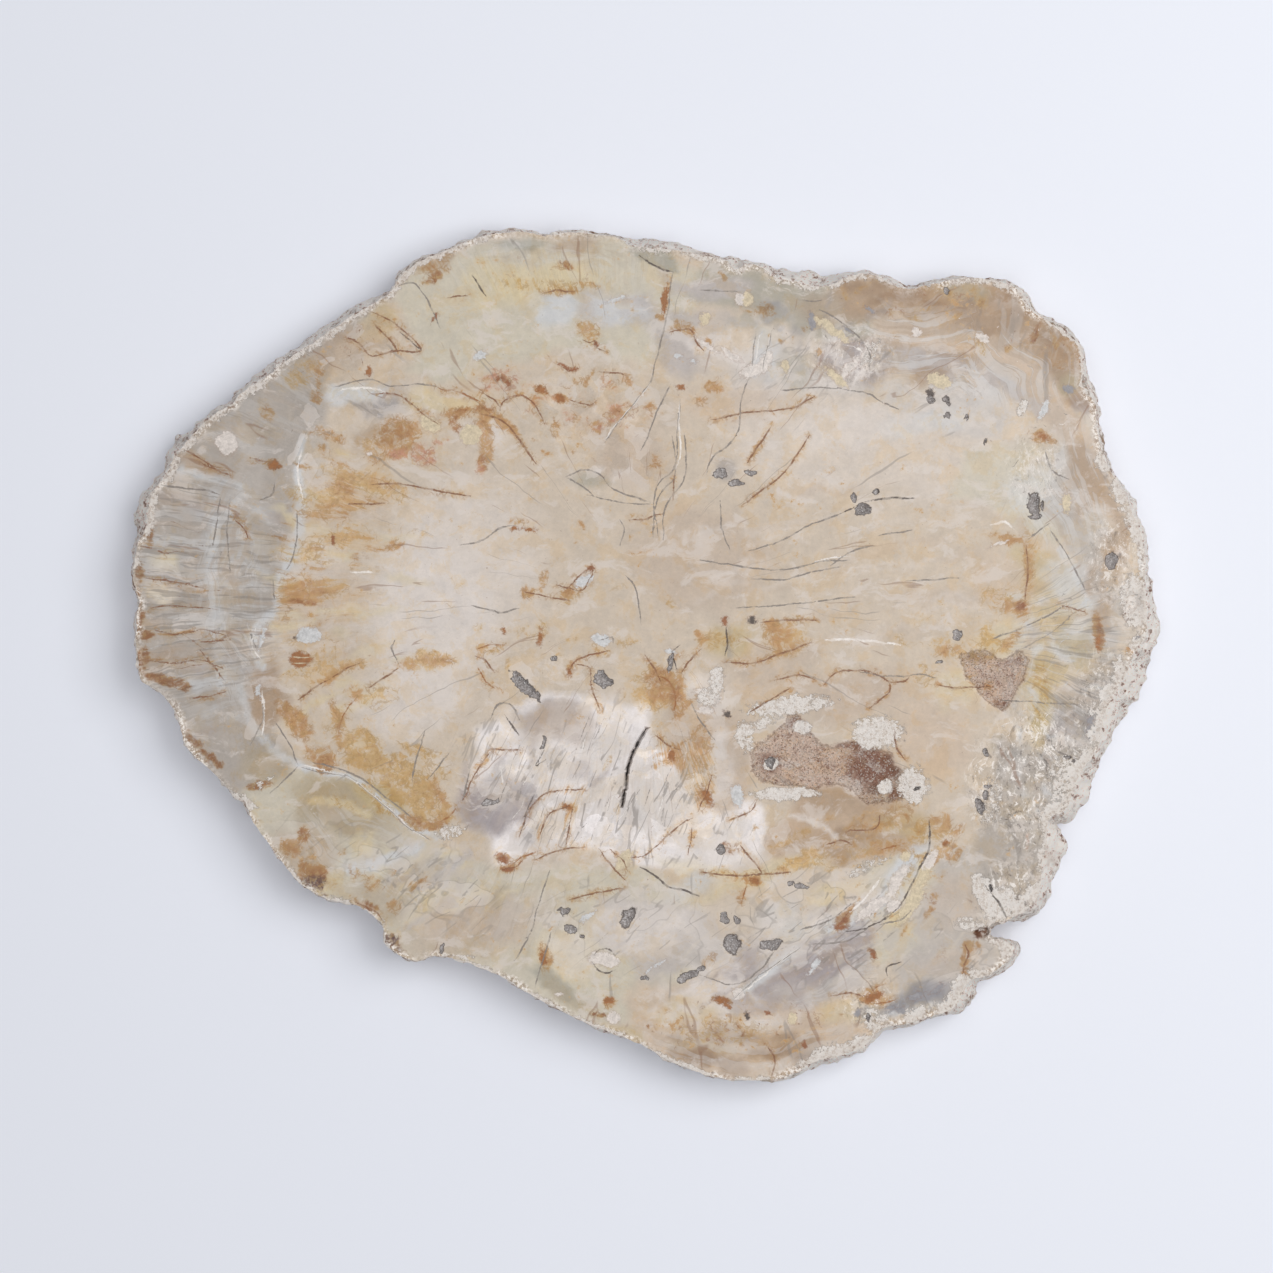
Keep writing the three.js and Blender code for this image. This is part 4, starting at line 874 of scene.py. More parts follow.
def largest_part(mesh):
    """Deletes all but the largest connected group of faces."""
    left = set(mesh.faces)
    groups = []
    while left:
        group = [left.pop()]
        for face in group:
            for edge in face.edges:
                for other in edge.link_faces:
                    if other in left:
                        left.remove(other)
                        group.append(other)
        groups.append(group)
    groups.sort(key=len)
    spare = [face for group in groups[:-1] for face in group]
    bmesh.ops.delete(mesh, geom=spare, context="FACES")


def cad_wall(shape):
    """The crumbly wall from a merged copy of the CAD solid, without its flat faces and with finer relief."""
    low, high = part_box(NODE)
    mesh = bmesh.new()
    mesh.from_mesh(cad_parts[NODE].data)
    bmesh.ops.remove_doubles(mesh, verts=mesh.verts[:], dist=WELD)
    flat = []
    for face in mesh.faces:
        height = face.calc_center_median().z
        if abs(face.normal.z) > FLAT_NORMAL and (high.z - height < LEVEL or height - low.z < LEVEL):
            flat.append(face)
    bmesh.ops.delete(mesh, geom=flat, context="FACES")
    largest_part(mesh)
    loose = [vertex for vertex in mesh.verts if not vertex.link_faces]
    bmesh.ops.delete(mesh, geom=loose, context="VERTS")
    bmesh.ops.subdivide_edges(mesh, edges=mesh.edges[:], cuts=shape.wall_cuts, use_grid_fill=True)
    bmesh.ops.triangulate(mesh, faces=mesh.faces[:])
    loops = closed_loops(mesh)
    border = {vertex for loop in loops for vertex in loop}
    inner = [vertex for vertex in mesh.verts if vertex not in border]
    bmesh.ops.smooth_vert(mesh, verts=inner, factor=0.5, use_axis_x=True, use_axis_y=True, use_axis_z=True)
    for loop in loops:
        soften_loop(loop)
    mesh.normal_update()
    roughen(mesh, border, shape)
    for vertex in inner:
        vertex.co.z = min(max(vertex.co.z, low.z + EDGE_GAP), high.z - EDGE_GAP)
    return mesh, loops


def soften_loop(loop):
    """Rounds the corners of a border a little, within its own plane."""
    places = [vertex.co.copy() for vertex in loop]
    for index, vertex in enumerate(loop):
        beside = (places[index - 1] + places[(index + 1) % len(loop)]) / 2
        vertex.co.x += (beside.x - vertex.co.x) / 2
        vertex.co.y += (beside.y - vertex.co.y) / 2


def roughen(mesh, border, shape):
    """Pushes the wall in and out: broad lumps, upright ribs and crumbs, and chips along both edges."""
    moves = {}
    for vertex in mesh.verts:
        place = vertex.co / MILLIMETRE
        stretched = Vector((place.x / RIB_WIDTH, place.y / RIB_WIDTH, place.z / RIB_HEIGHT))
        ribs = noise.fractal(stretched, 1.0, 2.0, 2)
        crumbs = noise.fractal(place / CRUMB_SIZE + Vector((9, 4, 2)), 0.9, 2.1, 3)
        push = shape.rib_relief * ribs + shape.crumb_relief * crumbs
        if vertex in border:
            spot = Vector((place.x / CHIP_SIZE, place.y / CHIP_SIZE, place.z))
            chip = noise.fractal(spot, 1.0, 2.0, 2)
            outward = Vector((vertex.normal.x, vertex.normal.y, 0))
            if outward.length > 0:
                moves[vertex] = outward.normalized() * (shape.edge_chips * chip)
        else:
            moves[vertex] = vertex.normal * push
    for vertex, move in moves.items():
        vertex.co += move


def spots_of(path):
    """The points of a path that is given as points or as a row of x, y, x, y."""
    return np.reshape(np.asarray(path, dtype=float), (-1, 2))


def smooth_path(path, step):
    """The points of a path by Catmull-Rom curves, sampled about every step."""
    points = spots_of(path)
    ends = np.vstack((2 * points[0] - points[1], points, 2 * points[-1] - points[-2]))
    curve = []
    for index in range(len(points) - 1):
        before, start, end, after = ends[index:index + 4]
        count = max(1, int(round(np.linalg.norm(end - start) / step)))
        for share in np.arange(count) / count:
            slope = (end - before) * share
            bend = (2 * before - 5 * start + 4 * end - after) * share ** 2
            turn = (3 * start - before - 3 * end + after) * share ** 3
            curve.append(start + (slope + bend + turn) / 2)
    curve.append(points[-1])
    return np.array(curve)


def patch_spots(draw, count, patch):
    """Random spots in a turned ellipse."""
    x, y, length, width, turn = patch
    lean = math.radians(turn)
    for _ in range(count):
        reach = math.sqrt(draw.random()) / 2
        around = draw.random() * 2 * math.pi
        along, across = reach * length * math.cos(around), reach * width * math.sin(around)
        yield (x + along * math.cos(lean) + across * math.sin(lean),
               y - along * math.sin(lean) + across * math.cos(lean))


def turn_at(x, y, turn):
    """A turn in degrees, or that of the wood's rays at a spot where none is given."""
    if turn is not None:
        return turn
    middle_x, middle_y, _ = RAY_CENTRES[int(x > RAY_DIVIDE)]
    return math.degrees(math.atan2(middle_y - y, x - middle_x))


def stroke_paths():
    """The families of short strokes as (tint, width, strength, path) entries, always the same ones."""
    draw = np.random.default_rng(STROKE_SEED)
    strokes = []
    for tint, width, strength, count, patch, length, turn, spread, curl in STROKES:
        for x, y in patch_spots(draw, count, patch):
            heading = math.radians(turn_at(x, y, turn) + spread * draw.normal())
            size = length * (0.45 + 0.9 * draw.random())
            spot = np.array((x, y))
            path = [spot]
            for _ in range(STROKE_STEPS):
                heading += math.radians(curl * draw.normal())
                spot = spot + size / STROKE_STEPS * np.array((math.cos(heading), -math.sin(heading)))
                path.append(spot)
            strokes.append((tint, width, strength * (0.6 + 0.4 * draw.random()), path))
    return strokes


def scattered(layer):
    """The seeded families of small patches on one layer, as (tint, place, size, turn and strength) rows."""
    draw = np.random.default_rng(SCATTER_SEED)
    rows = []
    for kind, tint, count, patch, length, width, turn, spread, strength in SCATTER:
        for x, y in patch_spots(draw, count, patch):
            long, wide, lean, share = draw.random(), draw.random(), draw.normal(), draw.random()
            if kind == layer:
                rows.append((tint, x, y, length * (0.5 + long), width * (0.6 + 0.8 * wide),
                             turn_at(x, y, turn) + spread * lean, strength * (0.6 + 0.5 * share)))
    return rows


def vein_lines():
    """Every thin line as (tint, half width, strength along it, centre points) in picture pixels."""
    entries = [(tint, width, strength, path) for tint, width, strength, paths in VEINS for path in paths]
    entries += stroke_paths()
    lines = []
    for index, (tint, width, strength, path) in enumerate(entries):
        centre = smooth_path(path, VEIN_STEP)
        if len(centre) < 3:
            continue
        tangent = np.gradient(centre, axis=0)
        tangent /= np.maximum(np.linalg.norm(tangent, axis=1), 1e-9)[:, None]
        across = np.column_stack((-tangent[:, 1], tangent[:, 0]))
        wander = field(centre + index * 3.7, 14, 5, 3)
        ends = np.minimum(np.arange(len(centre)), np.arange(len(centre))[::-1]) / 2
        hold = np.clip(ends, 0.25, 1)
        centre = centre + across * (VEIN_WANDER * wander * np.clip(ends, 0, 1))[:, None]
        thick = width * (1 + 0.35 * field(centre + index * 5.3, 9, 8, 2)) * (0.55 + 0.45 * hold)
        fade = strength * (0.55 + 0.45 * hold) * (0.9 + 0.3 * field(centre + index, 20, 9, 2))
        lines.append((tint, thick, np.clip(fade, 0.2, 1), centre, across))
    return lines


def inside_outline(spots, outline):
    """Which spots lie inside a closed outline."""
    spots = np.asarray(spots)
    outline = spots_of(outline)
    found = np.zeros(len(spots), dtype=bool)
    for (x1, y1), (x2, y2) in zip(outline, np.roll(outline, -1, axis=0)):
        if y1 == y2:
            continue
        crosses = (spots[:, 1] < y1) != (spots[:, 1] < y2)
        found ^= crosses & (spots[:, 0] < x1 + (spots[:, 1] - y1) * (x2 - x1) / (y2 - y1))
    return found


def hex_grid(low, high, spacing, seed):
    """A jittered grid of triangle corners over a box in pixels."""
    draw = np.random.default_rng(seed)
    rows = int((high[1] - low[1]) / (spacing * ROW_STEP)) + 1
    columns = int((high[0] - low[0]) / spacing) + 1
    row, column = np.mgrid[0:rows, 0:columns]
    x = low[0] + (column + 0.5 * (row % 2)) * spacing
    y = low[1] + row * spacing * ROW_STEP
    grid = np.column_stack((x.ravel(), y.ravel()))
    return grid + draw.uniform(-GRID_JITTER, GRID_JITTER, grid.shape) * spacing


def ellipse_reach(spots, x, y, length, width, turn):
    """Distance of spots from an ellipse's middle, where 1 is its border."""
    angle = math.radians(turn)
    dx, dy = spots[:, 0] - x, spots[:, 1] - y
    along = dx * math.cos(angle) - dy * math.sin(angle)
    across = dx * math.sin(angle) + dy * math.cos(angle)
    return np.hypot(along / (length / 2), across / (width / 2))


def outline_distance(spots, outline, closed=True):
    """Distance in pixels from spots to a path."""
    outline = spots_of(outline)
    ends = np.roll(outline, -1, axis=0) if closed else outline[1:]
    best = np.full(len(spots), np.inf)
    for start, end in zip(outline, ends):
        side = end - start
        share = np.clip(((spots - start) @ side) / max(side @ side, 1e-9), 0, 1)
        best = np.minimum(best, np.hypot(*(spots - start - share[:, None] * side).T))
    return best


def inside_share(spots, outline, border):
    """1 inside an outline and 0 outside it, with a soft border of some width."""
    distance = outline_distance(spots, outline)
    signed = np.where(inside_outline(spots, outline), distance, -distance)
    return smooth_step(-border / 2, border / 2, signed)


def fine_spots(shape):
    """Extra mesh points in pixels where pockets, sand beds and small spots need a finer surface."""
    groups = []
    patches = [(pocket[:5], shape.pocket_mesh, 1.5) for pocket in POCKETS]
    patches += [(spot, shape.pocket_mesh * 1.25, 1.35) for group in SPOTS.values() for spot in group]
    for (x, y, length, width, turn), spacing, reach in patches:
        if width > FINE_SPOT_LIMIT:
            continue
        spacing = pixels(spacing)
        half = max(length, width) / 2 * reach + 2 * spacing
        grid = hex_grid((x - half, y - half), (x + half, y + half), spacing, int(x * 7 + y))
        near = ellipse_reach(grid, x, y, length * reach + 2 * spacing, width * reach + 2 * spacing, turn)
        groups.append(grid[near < 1])
    for outline in SAND_BEDS:
        corners = spots_of(outline)
        spacing = pixels(shape.sand_mesh)
        grid = hex_grid(corners.min(axis=0) - 3, corners.max(axis=0) + 3, spacing, len(outline))
        groups.append(grid[inside_outline(grid, outline) | (outline_distance(grid, outline) < 3)])
    return np.vstack(groups)


def search_tree(spots):
    """A tree that finds the nearest of some 2-D spots."""
    tree = kdtree.KDTree(len(spots))
    for index, (x, y) in enumerate(spots):
        tree.insert((x, y, 0), index)
    tree.balance()
    return tree


def nearest_distance(spots, others):
    """Distance from each spot to the nearest of the others."""
    tree = search_tree(others)
    return np.array([tree.find((x, y, 0))[2] for x, y in spots])


def thinned(spots, gap, taken):
    """The spots that keep their distance from the taken ones, and from each other."""
    tree = search_tree(np.vstack((taken, spots)))
    kept = np.ones(len(spots), dtype=bool)
    first = len(taken)
    for index, (x, y) in enumerate(spots):
        for _, other, _ in tree.find_range((x, y, 0), gap):
            if other < first or (other < first + index and kept[other - first]):
                kept[index] = False
                break
    return spots[kept]


def well_inside(spots, rim):
    """Which spots lie inside the rim and clear of it."""
    return inside_outline(spots, rim) & (nearest_distance(spots, rim) >= RIM_GAP)


class FaceSheet:
    """The top surface as a flat triangle mesh with its thin lines, in picture pixels."""

    def __init__(self, rim, shape):
        self.lines = vein_lines()
        middles = np.vstack([line[3] for line in self.lines])
        fades = np.concatenate([line[2] for line in self.lines])
        sizes = np.array([len(line[3]) for line in self.lines])
        owners = np.repeat(np.arange(len(sizes)), sizes)
        safe = np.flatnonzero(well_inside(middles, rim))
        centres = middles[safe]
        joined = (np.diff(safe) == 1) & (np.diff(owners[safe]) == 0)
        sides = np.vstack([centre + way * across * thick[:, None]
                           for tint, thick, fade, centre, across in self.lines for way in (-1, 1)])
        side_owners = np.repeat(np.arange(len(sizes)), 2 * sizes)
        clear = well_inside(sides, rim) & (nearest_distance(sides, centres) > VEIN_CLEAR)
        sides, side_owners = sides[clear], side_owners[clear]

        taken = np.vstack((rim, centres, sides))
        fine = fine_spots(shape)
        fine = thinned(fine[inside_outline(fine, rim)], 0.7 * pixels(shape.pocket_mesh), taken)
        spacing = pixels(shape.face_mesh)
        grid = hex_grid(rim.min(axis=0), rim.max(axis=0), spacing, GRID_SEED)
        grid = thinned(grid[inside_outline(grid, rim)], 0.42 * spacing, np.vstack((taken, fine)))
        first = len(rim)
        links = [(first + step, first + step + 1) for step in np.flatnonzero(joined)]
        points = np.vstack((centres, sides, fine, grid))
        self.spots, self.triangles, self.origins = triangulated(rim, points, links)

        self.strength = np.zeros(len(self.spots))
        self.owner = np.full(len(self.spots), -1)
        origins = np.array(self.origins)
        tree = search_tree(centres)
        for index in np.flatnonzero(origins < 0):
            x, y = self.spots[index]
            origins[index] = first + tree.find((x, y, 0))[1]
        middle = (origins >= first) & (origins < first + len(centres))
        self.owner[middle] = owners[safe][origins[middle] - first]
        self.strength[middle] = fades[safe][origins[middle] - first]
        first += len(centres)
        beside = (origins >= first) & (origins < first + len(sides))
        self.owner[beside] = side_owners[origins[beside] - first]


def triangulated(rim, points, links):
    """Triangles inside a closed rim through all points: their spots, corners and each spot's source."""
    count = len(rim)
    ring = [(index, (index + 1) % count) for index in range(count)]
    spots = [Vector(spot) for spot in np.vstack((rim, points))]
    result = delaunay_2d_cdt(spots, ring + links, [], 0, CDT_GAP, True)
    spots = np.array([spot[:] for spot in result[0]])
    origins = [ids[0] if ids else -1 for ids in result[3]]
    return spots, kept_triangles(spots, result[2], origins, rim), origins


def kept_triangles(spots, faces, origins, rim):
    """The triangles inside the rim. Only one with three rim corners can lie outside it."""
    count = len(rim)
    kept = []
    doubtful = []
    for face in faces:
        if all(0 <= origins[corner] < count for corner in face):
            doubtful.append(face)
        else:
            kept.append(face)
    if doubtful:
        middles = np.array([spots[list(face)].mean(axis=0) for face in doubtful])
        kept += [face for face, good in zip(doubtful, inside_outline(middles, rim)) if good]
    return kept


def rows_of(table):
    """The rows of a table by tint, with the tint first in each."""
    return [(tint, *row) for tint, rows in table.items() for row in rows]


class Painting:
    """Colours and traits of the stone at picture spots, laid on in the order of the tables above."""

    def __init__(self, spots, rim, colours):
        self.spots = spots
        self.colours = colours
        drift = np.column_stack((field(spots, BROAD_WAVE, 1), field(spots, BROAD_WAVE, 2)))
        detail = np.column_stack((field(spots, CLOSE_WAVE, 3), field(spots, CLOSE_WAVE, 4)))
        self.broad = spots + BROAD_DRIFT * drift + CLOSE_DRIFT * detail
        self.close = spots + CLOSE_DRIFT * 0.5 * drift + CLOSE_DRIFT * 0.6 * detail
        self.edge = nearest_distance(spots, rim)
        self.jagged = 0.34 * field(spots, 5, 21, 3)
        self.ground = self.plain("core")
        self.bark = self.plain("chalk")
        self.stain = np.column_stack((self.plain("ochre"), np.zeros(len(spots))))
        self.spot = np.column_stack((self.plain("rust"), np.zeros(len(spots))))
        self.paint_ground()
        self.paint_stains()
        self.paint_spots()
        self.wash(self.bark, rows_of(BARK))
        self.traits = {
            "chalk": self.chalk(),
            "sand": self.sand(),
            "pocket": self.strongest(POCKETS, 0.8, 1.2, self.jagged),
        }
        for name, table in TRAITS.items():
            self.traits[name] = self.patches(table)
        self.flow = self.grain_flow()

    def plain(self, tint):
        """One colour for every spot."""
        return np.tile(self.colours[tint], (len(self.spots), 1))

    def lay(self, layer, tint, cover):
        """Lays a colour over a layer."""
        layer += cover[:, None] * (self.colours[tint] - layer)

    def cover(self, patch, inner, outer, jag=0):
        """How far a patch covers each spot: 1 within its inner reach and 0 past its outer one."""
        return 1 - smooth_step(inner, outer, ellipse_reach(self.close, *patch) + jag)

    def strongest(self, table, inner, outer, jag=0):
        """The strongest cover of some patches at each spot, all of strength 1."""
        share = np.zeros(len(self.spots))
        for row in table:
            share = np.maximum(share, self.cover(row[:5], inner, outer, jag))
        return share

    def patches(self, table):
        """The strongest of some soft patches at each spot."""
        share = np.zeros(len(self.spots))
        for *patch, strength in table:
            share = np.maximum(share, strength * self.cover(patch, 0.55, 1.35))
        return share

    def paint_ground(self):
        """The zones, then the soft washes and the ribbons."""
        for tint, border, strength, outline in ZONES:
            self.lay(self.ground, tint, strength * inside_share(self.broad, outline, border))
        self.wash(self.ground, rows_of(WASHES) + scattered("ground"))
        for tint, width, strength, path in RIBBONS:
            distance = outline_distance(self.close, smooth_path(path, RIBBON_STEP), False)
            self.lay(self.ground, tint, strength * (1 - smooth_step(0.32, 0.62, distance / width)))

    def wash(self, layer, table):
        """Soft clouds of colour over a layer."""
        for tint, *patch, strength in table:
            cover = 1 - smooth_step(0.55, 1.2, ellipse_reach(self.broad, *patch))
            self.lay(layer, tint, np.clip(strength, 0, 1) * cover)

    def paint_stains(self):
        """Stains add up, and the tint leans to the latest."""
        for tint, *patch, strength in rows_of(STAINS) + scattered("stain"):
            self.soak(tint, np.clip(strength * self.cover(patch, 0.5, 1.3), 0, 1))
        self.soak("ochre", HALO_STRENGTH * (1 - smooth_step(1.5, HALO_REACH, self.halo())))

    def soak(self, tint, cover):
        """Lays one stain over the others."""
        total = 1 - (1 - self.stain[:, 3]) * (1 - cover)
        lean = np.where(total > 0, cover / np.maximum(total, 1e-6), 0)
        self.lay(self.stain[:, :3], tint, lean)
        self.stain[:, 3] = total

    def halo(self):
        """Distance in pixels from the nearest brown line, as far as its halo reaches."""
        away = np.full(len(self.spots), HALO_REACH)
        for path in [path for row in VEINS if row[0] in WARM_VEINS for path in row[3]]:
            curve = smooth_path(path, RIBBON_STEP)
            beside = self.close > curve.min(axis=0) - HALO_REACH
            beside &= self.close < curve.max(axis=0) + HALO_REACH
            near = beside.all(axis=1)
            away[near] = np.minimum(away[near], outline_distance(self.close[near], curve, False))
        return away

    def paint_spots(self):
        """Crisp spots: their coverage crosses one half at the border."""
        for tint, *patch in rows_of(SPOTS):
            reach = ellipse_reach(self.close, *patch)
            half = min(patch[2:4]) / 2
            cover = np.clip(0.5 + (1 - reach) * half / (2 * min(SPOT_EDGE, half)), 0, 1)
            near = (reach < 1.9) & (cover >= self.spot[:, 3])
            self.spot[near, :3] = self.colours[tint]
            self.spot[near, 3] = cover[near]

    def chalk(self):
        """Chalky patches, and the chalk that reaches in from the rim."""
        share = self.patches(CHALK)
        patchy = np.clip(0.8 + 1.5 * field(self.spots, 22, 14, 3), 0.15, 1.3)
        for width, path in RIM_CHALK:
            distance = outline_distance(self.spots, path, False)
            beside = 1 - smooth_step(RIM_SEARCH * 0.6, RIM_SEARCH, distance)
            share = np.maximum(share, beside * patchy * np.clip(1 - self.edge / (2.2 * width), 0, 1))
        return share

    def sand(self):
        """Sandy fillings, and their shades on the ground."""
        share = np.zeros(len(self.spots))
        for outline in SAND_BEDS:
            share = np.maximum(share, inside_share(self.close, outline, SAND_BORDER))
        for tint, rows in SAND_SHADES:
            for *patch, strength in rows:
                self.lay(self.ground, tint, strength * share * self.cover(patch, 0.5, 1.2))
        return share

    def depths(self):
        """How far the polished face drops at each spot, in metres."""
        rough = field(self.spots, 5, 11, 3)
        drop = np.zeros(len(self.spots))
        for *patch, depth in POCKETS + HOLLOWS:
            cover = self.cover(patch, 0.4, 1.04, self.jagged)
            drop = np.maximum(drop, depth * cover * (0.75 + 0.35 * rough))
        crack = outline_distance(self.spots, smooth_path(CRACK, VEIN_STEP), False)
        drop = np.maximum(drop, CRACK_DEPTH * np.clip(1 - 2 * crack / CRACK_WIDTH, 0, 1))
        drop += self.traits["sand"] * (0.35 + 0.3 * rough)
        worn = smooth_step(0.4, 0.9, self.traits["chalk"]) * smooth_step(0, 6, self.edge)
        drop += worn * (0.12 + 0.2 * rough)
        return np.maximum(drop, 0) * MILLIMETRE * smooth_step(0, 2, self.edge)

    def grain_flow(self):
        """Along the ray, across the rays and in from the rim, in millimetres."""
        flow = np.zeros((len(self.spots), 3))
        right = self.spots[:, 0] > RAY_DIVIDE
        for chosen, (x, y, mean) in zip((~right, right), RAY_CENTRES):
            offset = (0.7 * self.spots[chosen] + 0.3 * self.broad[chosen] - (x, y)) * PIXEL_MM
            flow[chosen, 0] = np.hypot(offset[:, 0], offset[:, 1])
            flow[chosen, 1] = np.arctan2(offset[:, 1], np.abs(offset[:, 0])) * mean
        flow[:, 2] = self.edge * PIXEL_MM
        return flow


def linear(colour):
    """Display red, green and blue from 0 to 255 as linear light from 0 to 1."""
    share = np.array(colour[:3], dtype=float) / 255
    return np.where(share <= 0.04045, share / 12.92, ((share + 0.055) / 1.055) ** 2.4)


def add_attribute(mesh, name, kind, values, domain="POINT"):
    """Stores one named attribute on a mesh. A colour without coverage gets full coverage."""
    layer = mesh.attributes.new(name, kind, domain)
    key = {"FLOAT": "value", "FLOAT_VECTOR": "vector", "FLOAT_COLOR": "color"}[kind]
    if kind == "FLOAT_COLOR" and values.shape[1] == 3:
        values = np.column_stack((values, np.ones(len(values))))
    layer.data.foreach_set(key, np.ascontiguousarray(values, dtype=np.float32).ravel())


def upward(spots, triangles, up):
    """The triangles turned so that they face up or down. Picture rows run downwards."""
    corners = np.array([list(face) for face in triangles])
    first, second, third = (spots[corners[:, index]] for index in range(3))
    side, other = second - first, third - first
    area = side[:, 0] * other[:, 1] - side[:, 1] * other[:, 0]
    faces_up = area < 0
    wrong = faces_up != up
    corners[wrong] = corners[wrong][:, ::-1]
    return corners


def sheet_numbers(origins, loop, first):
    """Vertex numbers of a sheet's spots: those of the wall's loop on the rim, and new ones inside."""
    numbers = []
    for origin in origins:
        if 0 <= origin < len(loop):
            numbers.append(loop[origin].index)
        else:
            numbers.append(first)
            first += 1
    return np.array(numbers), first


def build_stone(shape, colours):
    """The whole slice as one closed mesh with its painted attributes."""
    wall, loops = cad_wall(shape)
    low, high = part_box(NODE)
    wall.verts.index_update()
    loops.sort(key=lambda loop: -loop[0].co.z)
    top_loop, base_loop = loops
    places = np.array([vertex.co[:] for vertex in wall.verts])
    wall_faces = [[vertex.index for vertex in face.verts] for face in wall.faces]
    rim = to_picture(np.array([vertex.co[:] for vertex in top_loop]))
    base_rim = to_picture(np.array([vertex.co[:] for vertex in base_loop]))

    sheet = FaceSheet(rim, shape)
    numbers, total = sheet_numbers(sheet.origins, top_loop, len(places))
    spacing = pixels(shape.base_mesh)
    grid = hex_grid(base_rim.min(axis=0), base_rim.max(axis=0), spacing, GRID_SEED)
    grid = thinned(grid[inside_outline(grid, base_rim)], 0.5 * spacing, base_rim)
    base_spots, base_triangles, base_origins = triangulated(base_rim, grid, [])
    base_numbers, total = sheet_numbers(base_origins, base_loop, total)

    points = np.zeros((total, 3))
    points[:len(places)] = places
    for spots, marks, height in ((sheet.spots, numbers, high.z), (base_spots, base_numbers, low.z)):
        new = marks >= len(places)
        points[marks[new], :2] = to_part(spots[new])
        points[marks[new], 2] = height
    top = numbers[upward(sheet.spots, sheet.triangles, True)]
    bottom = base_numbers[upward(base_spots, base_triangles, False)]

    painting = Painting(to_picture(points), rim, colours)
    inner = numbers[numbers >= len(places)]
    drop = np.zeros(total)
    drop[inner] = painting.depths()[inner]
    points[:, 2] -= drop
    on_face = np.isin(np.arange(total), inner)
    painting.traits["pocket"] = painting.traits["pocket"] * on_face
    painting.traits["druse"] = painting.traits["pocket"] * (drop > DRUSE_DEPTH)
    mesh = bpy.data.meshes.new(STONE_PIECE)
    faces = wall_faces + top.tolist() + bottom.tolist()
    mesh.from_pydata(points.tolist(), [], faces)
    mesh.update(calc_edges=True)
    sides = np.repeat((1.0, 0.0, 2.0), (len(wall_faces), len(top), len(bottom)))
    add_attribute(mesh, "side", "FLOAT", sides, "FACE")
    for name in ("ground", "bark", "stain", "spot"):
        add_attribute(mesh, name, "FLOAT_COLOR", getattr(painting, name))
    add_attribute(mesh, "vein", "FLOAT_COLOR", vein_layer(sheet, numbers, total, colours))
    add_attribute(mesh, "flow", "FLOAT_VECTOR", painting.flow)
    for name, values in painting.traits.items():
        add_attribute(mesh, name, "FLOAT", values)
    mesh.polygons.foreach_set("use_smooth", np.ones(len(faces), dtype=bool))
    mesh.set_sharp_from_angle(angle=SHARP_ANGLE)
    wall.free()
    return mesh


def vein_layer(sheet, numbers, total, colours):
    """Colour and strength of the thin lines at each vertex."""
    layer = np.zeros((total, 4))
    layer[:, :3] = colours["vein_grey"]
    marked = sheet.owner >= 0
    tints = np.array([colours[line[0]] for line in sheet.lines])
    layer[numbers[marked], :3] = tints[sheet.owner[marked]]
    layer[numbers[marked], 3] = sheet.strength[marked]
    return layer


class Value:
    """A number socket of a material's nodes, on which sums are written as in Python."""

    def __init__(self, graph, socket):
        self.graph = graph
        self.socket = socket

    def __add__(self, other):
        return self.graph.sum("ADD", self, other)

    def __radd__(self, other):
        return self.graph.sum("ADD", other, self)

    def __sub__(self, other):
        return self.graph.sum("SUBTRACT", self, other)

    def __rsub__(self, other):
        return self.graph.sum("SUBTRACT", other, self)

    def __mul__(self, other):
        return self.graph.sum("MULTIPLY", self, other)

    def __rmul__(self, other):
        return self.graph.sum("MULTIPLY", other, self)


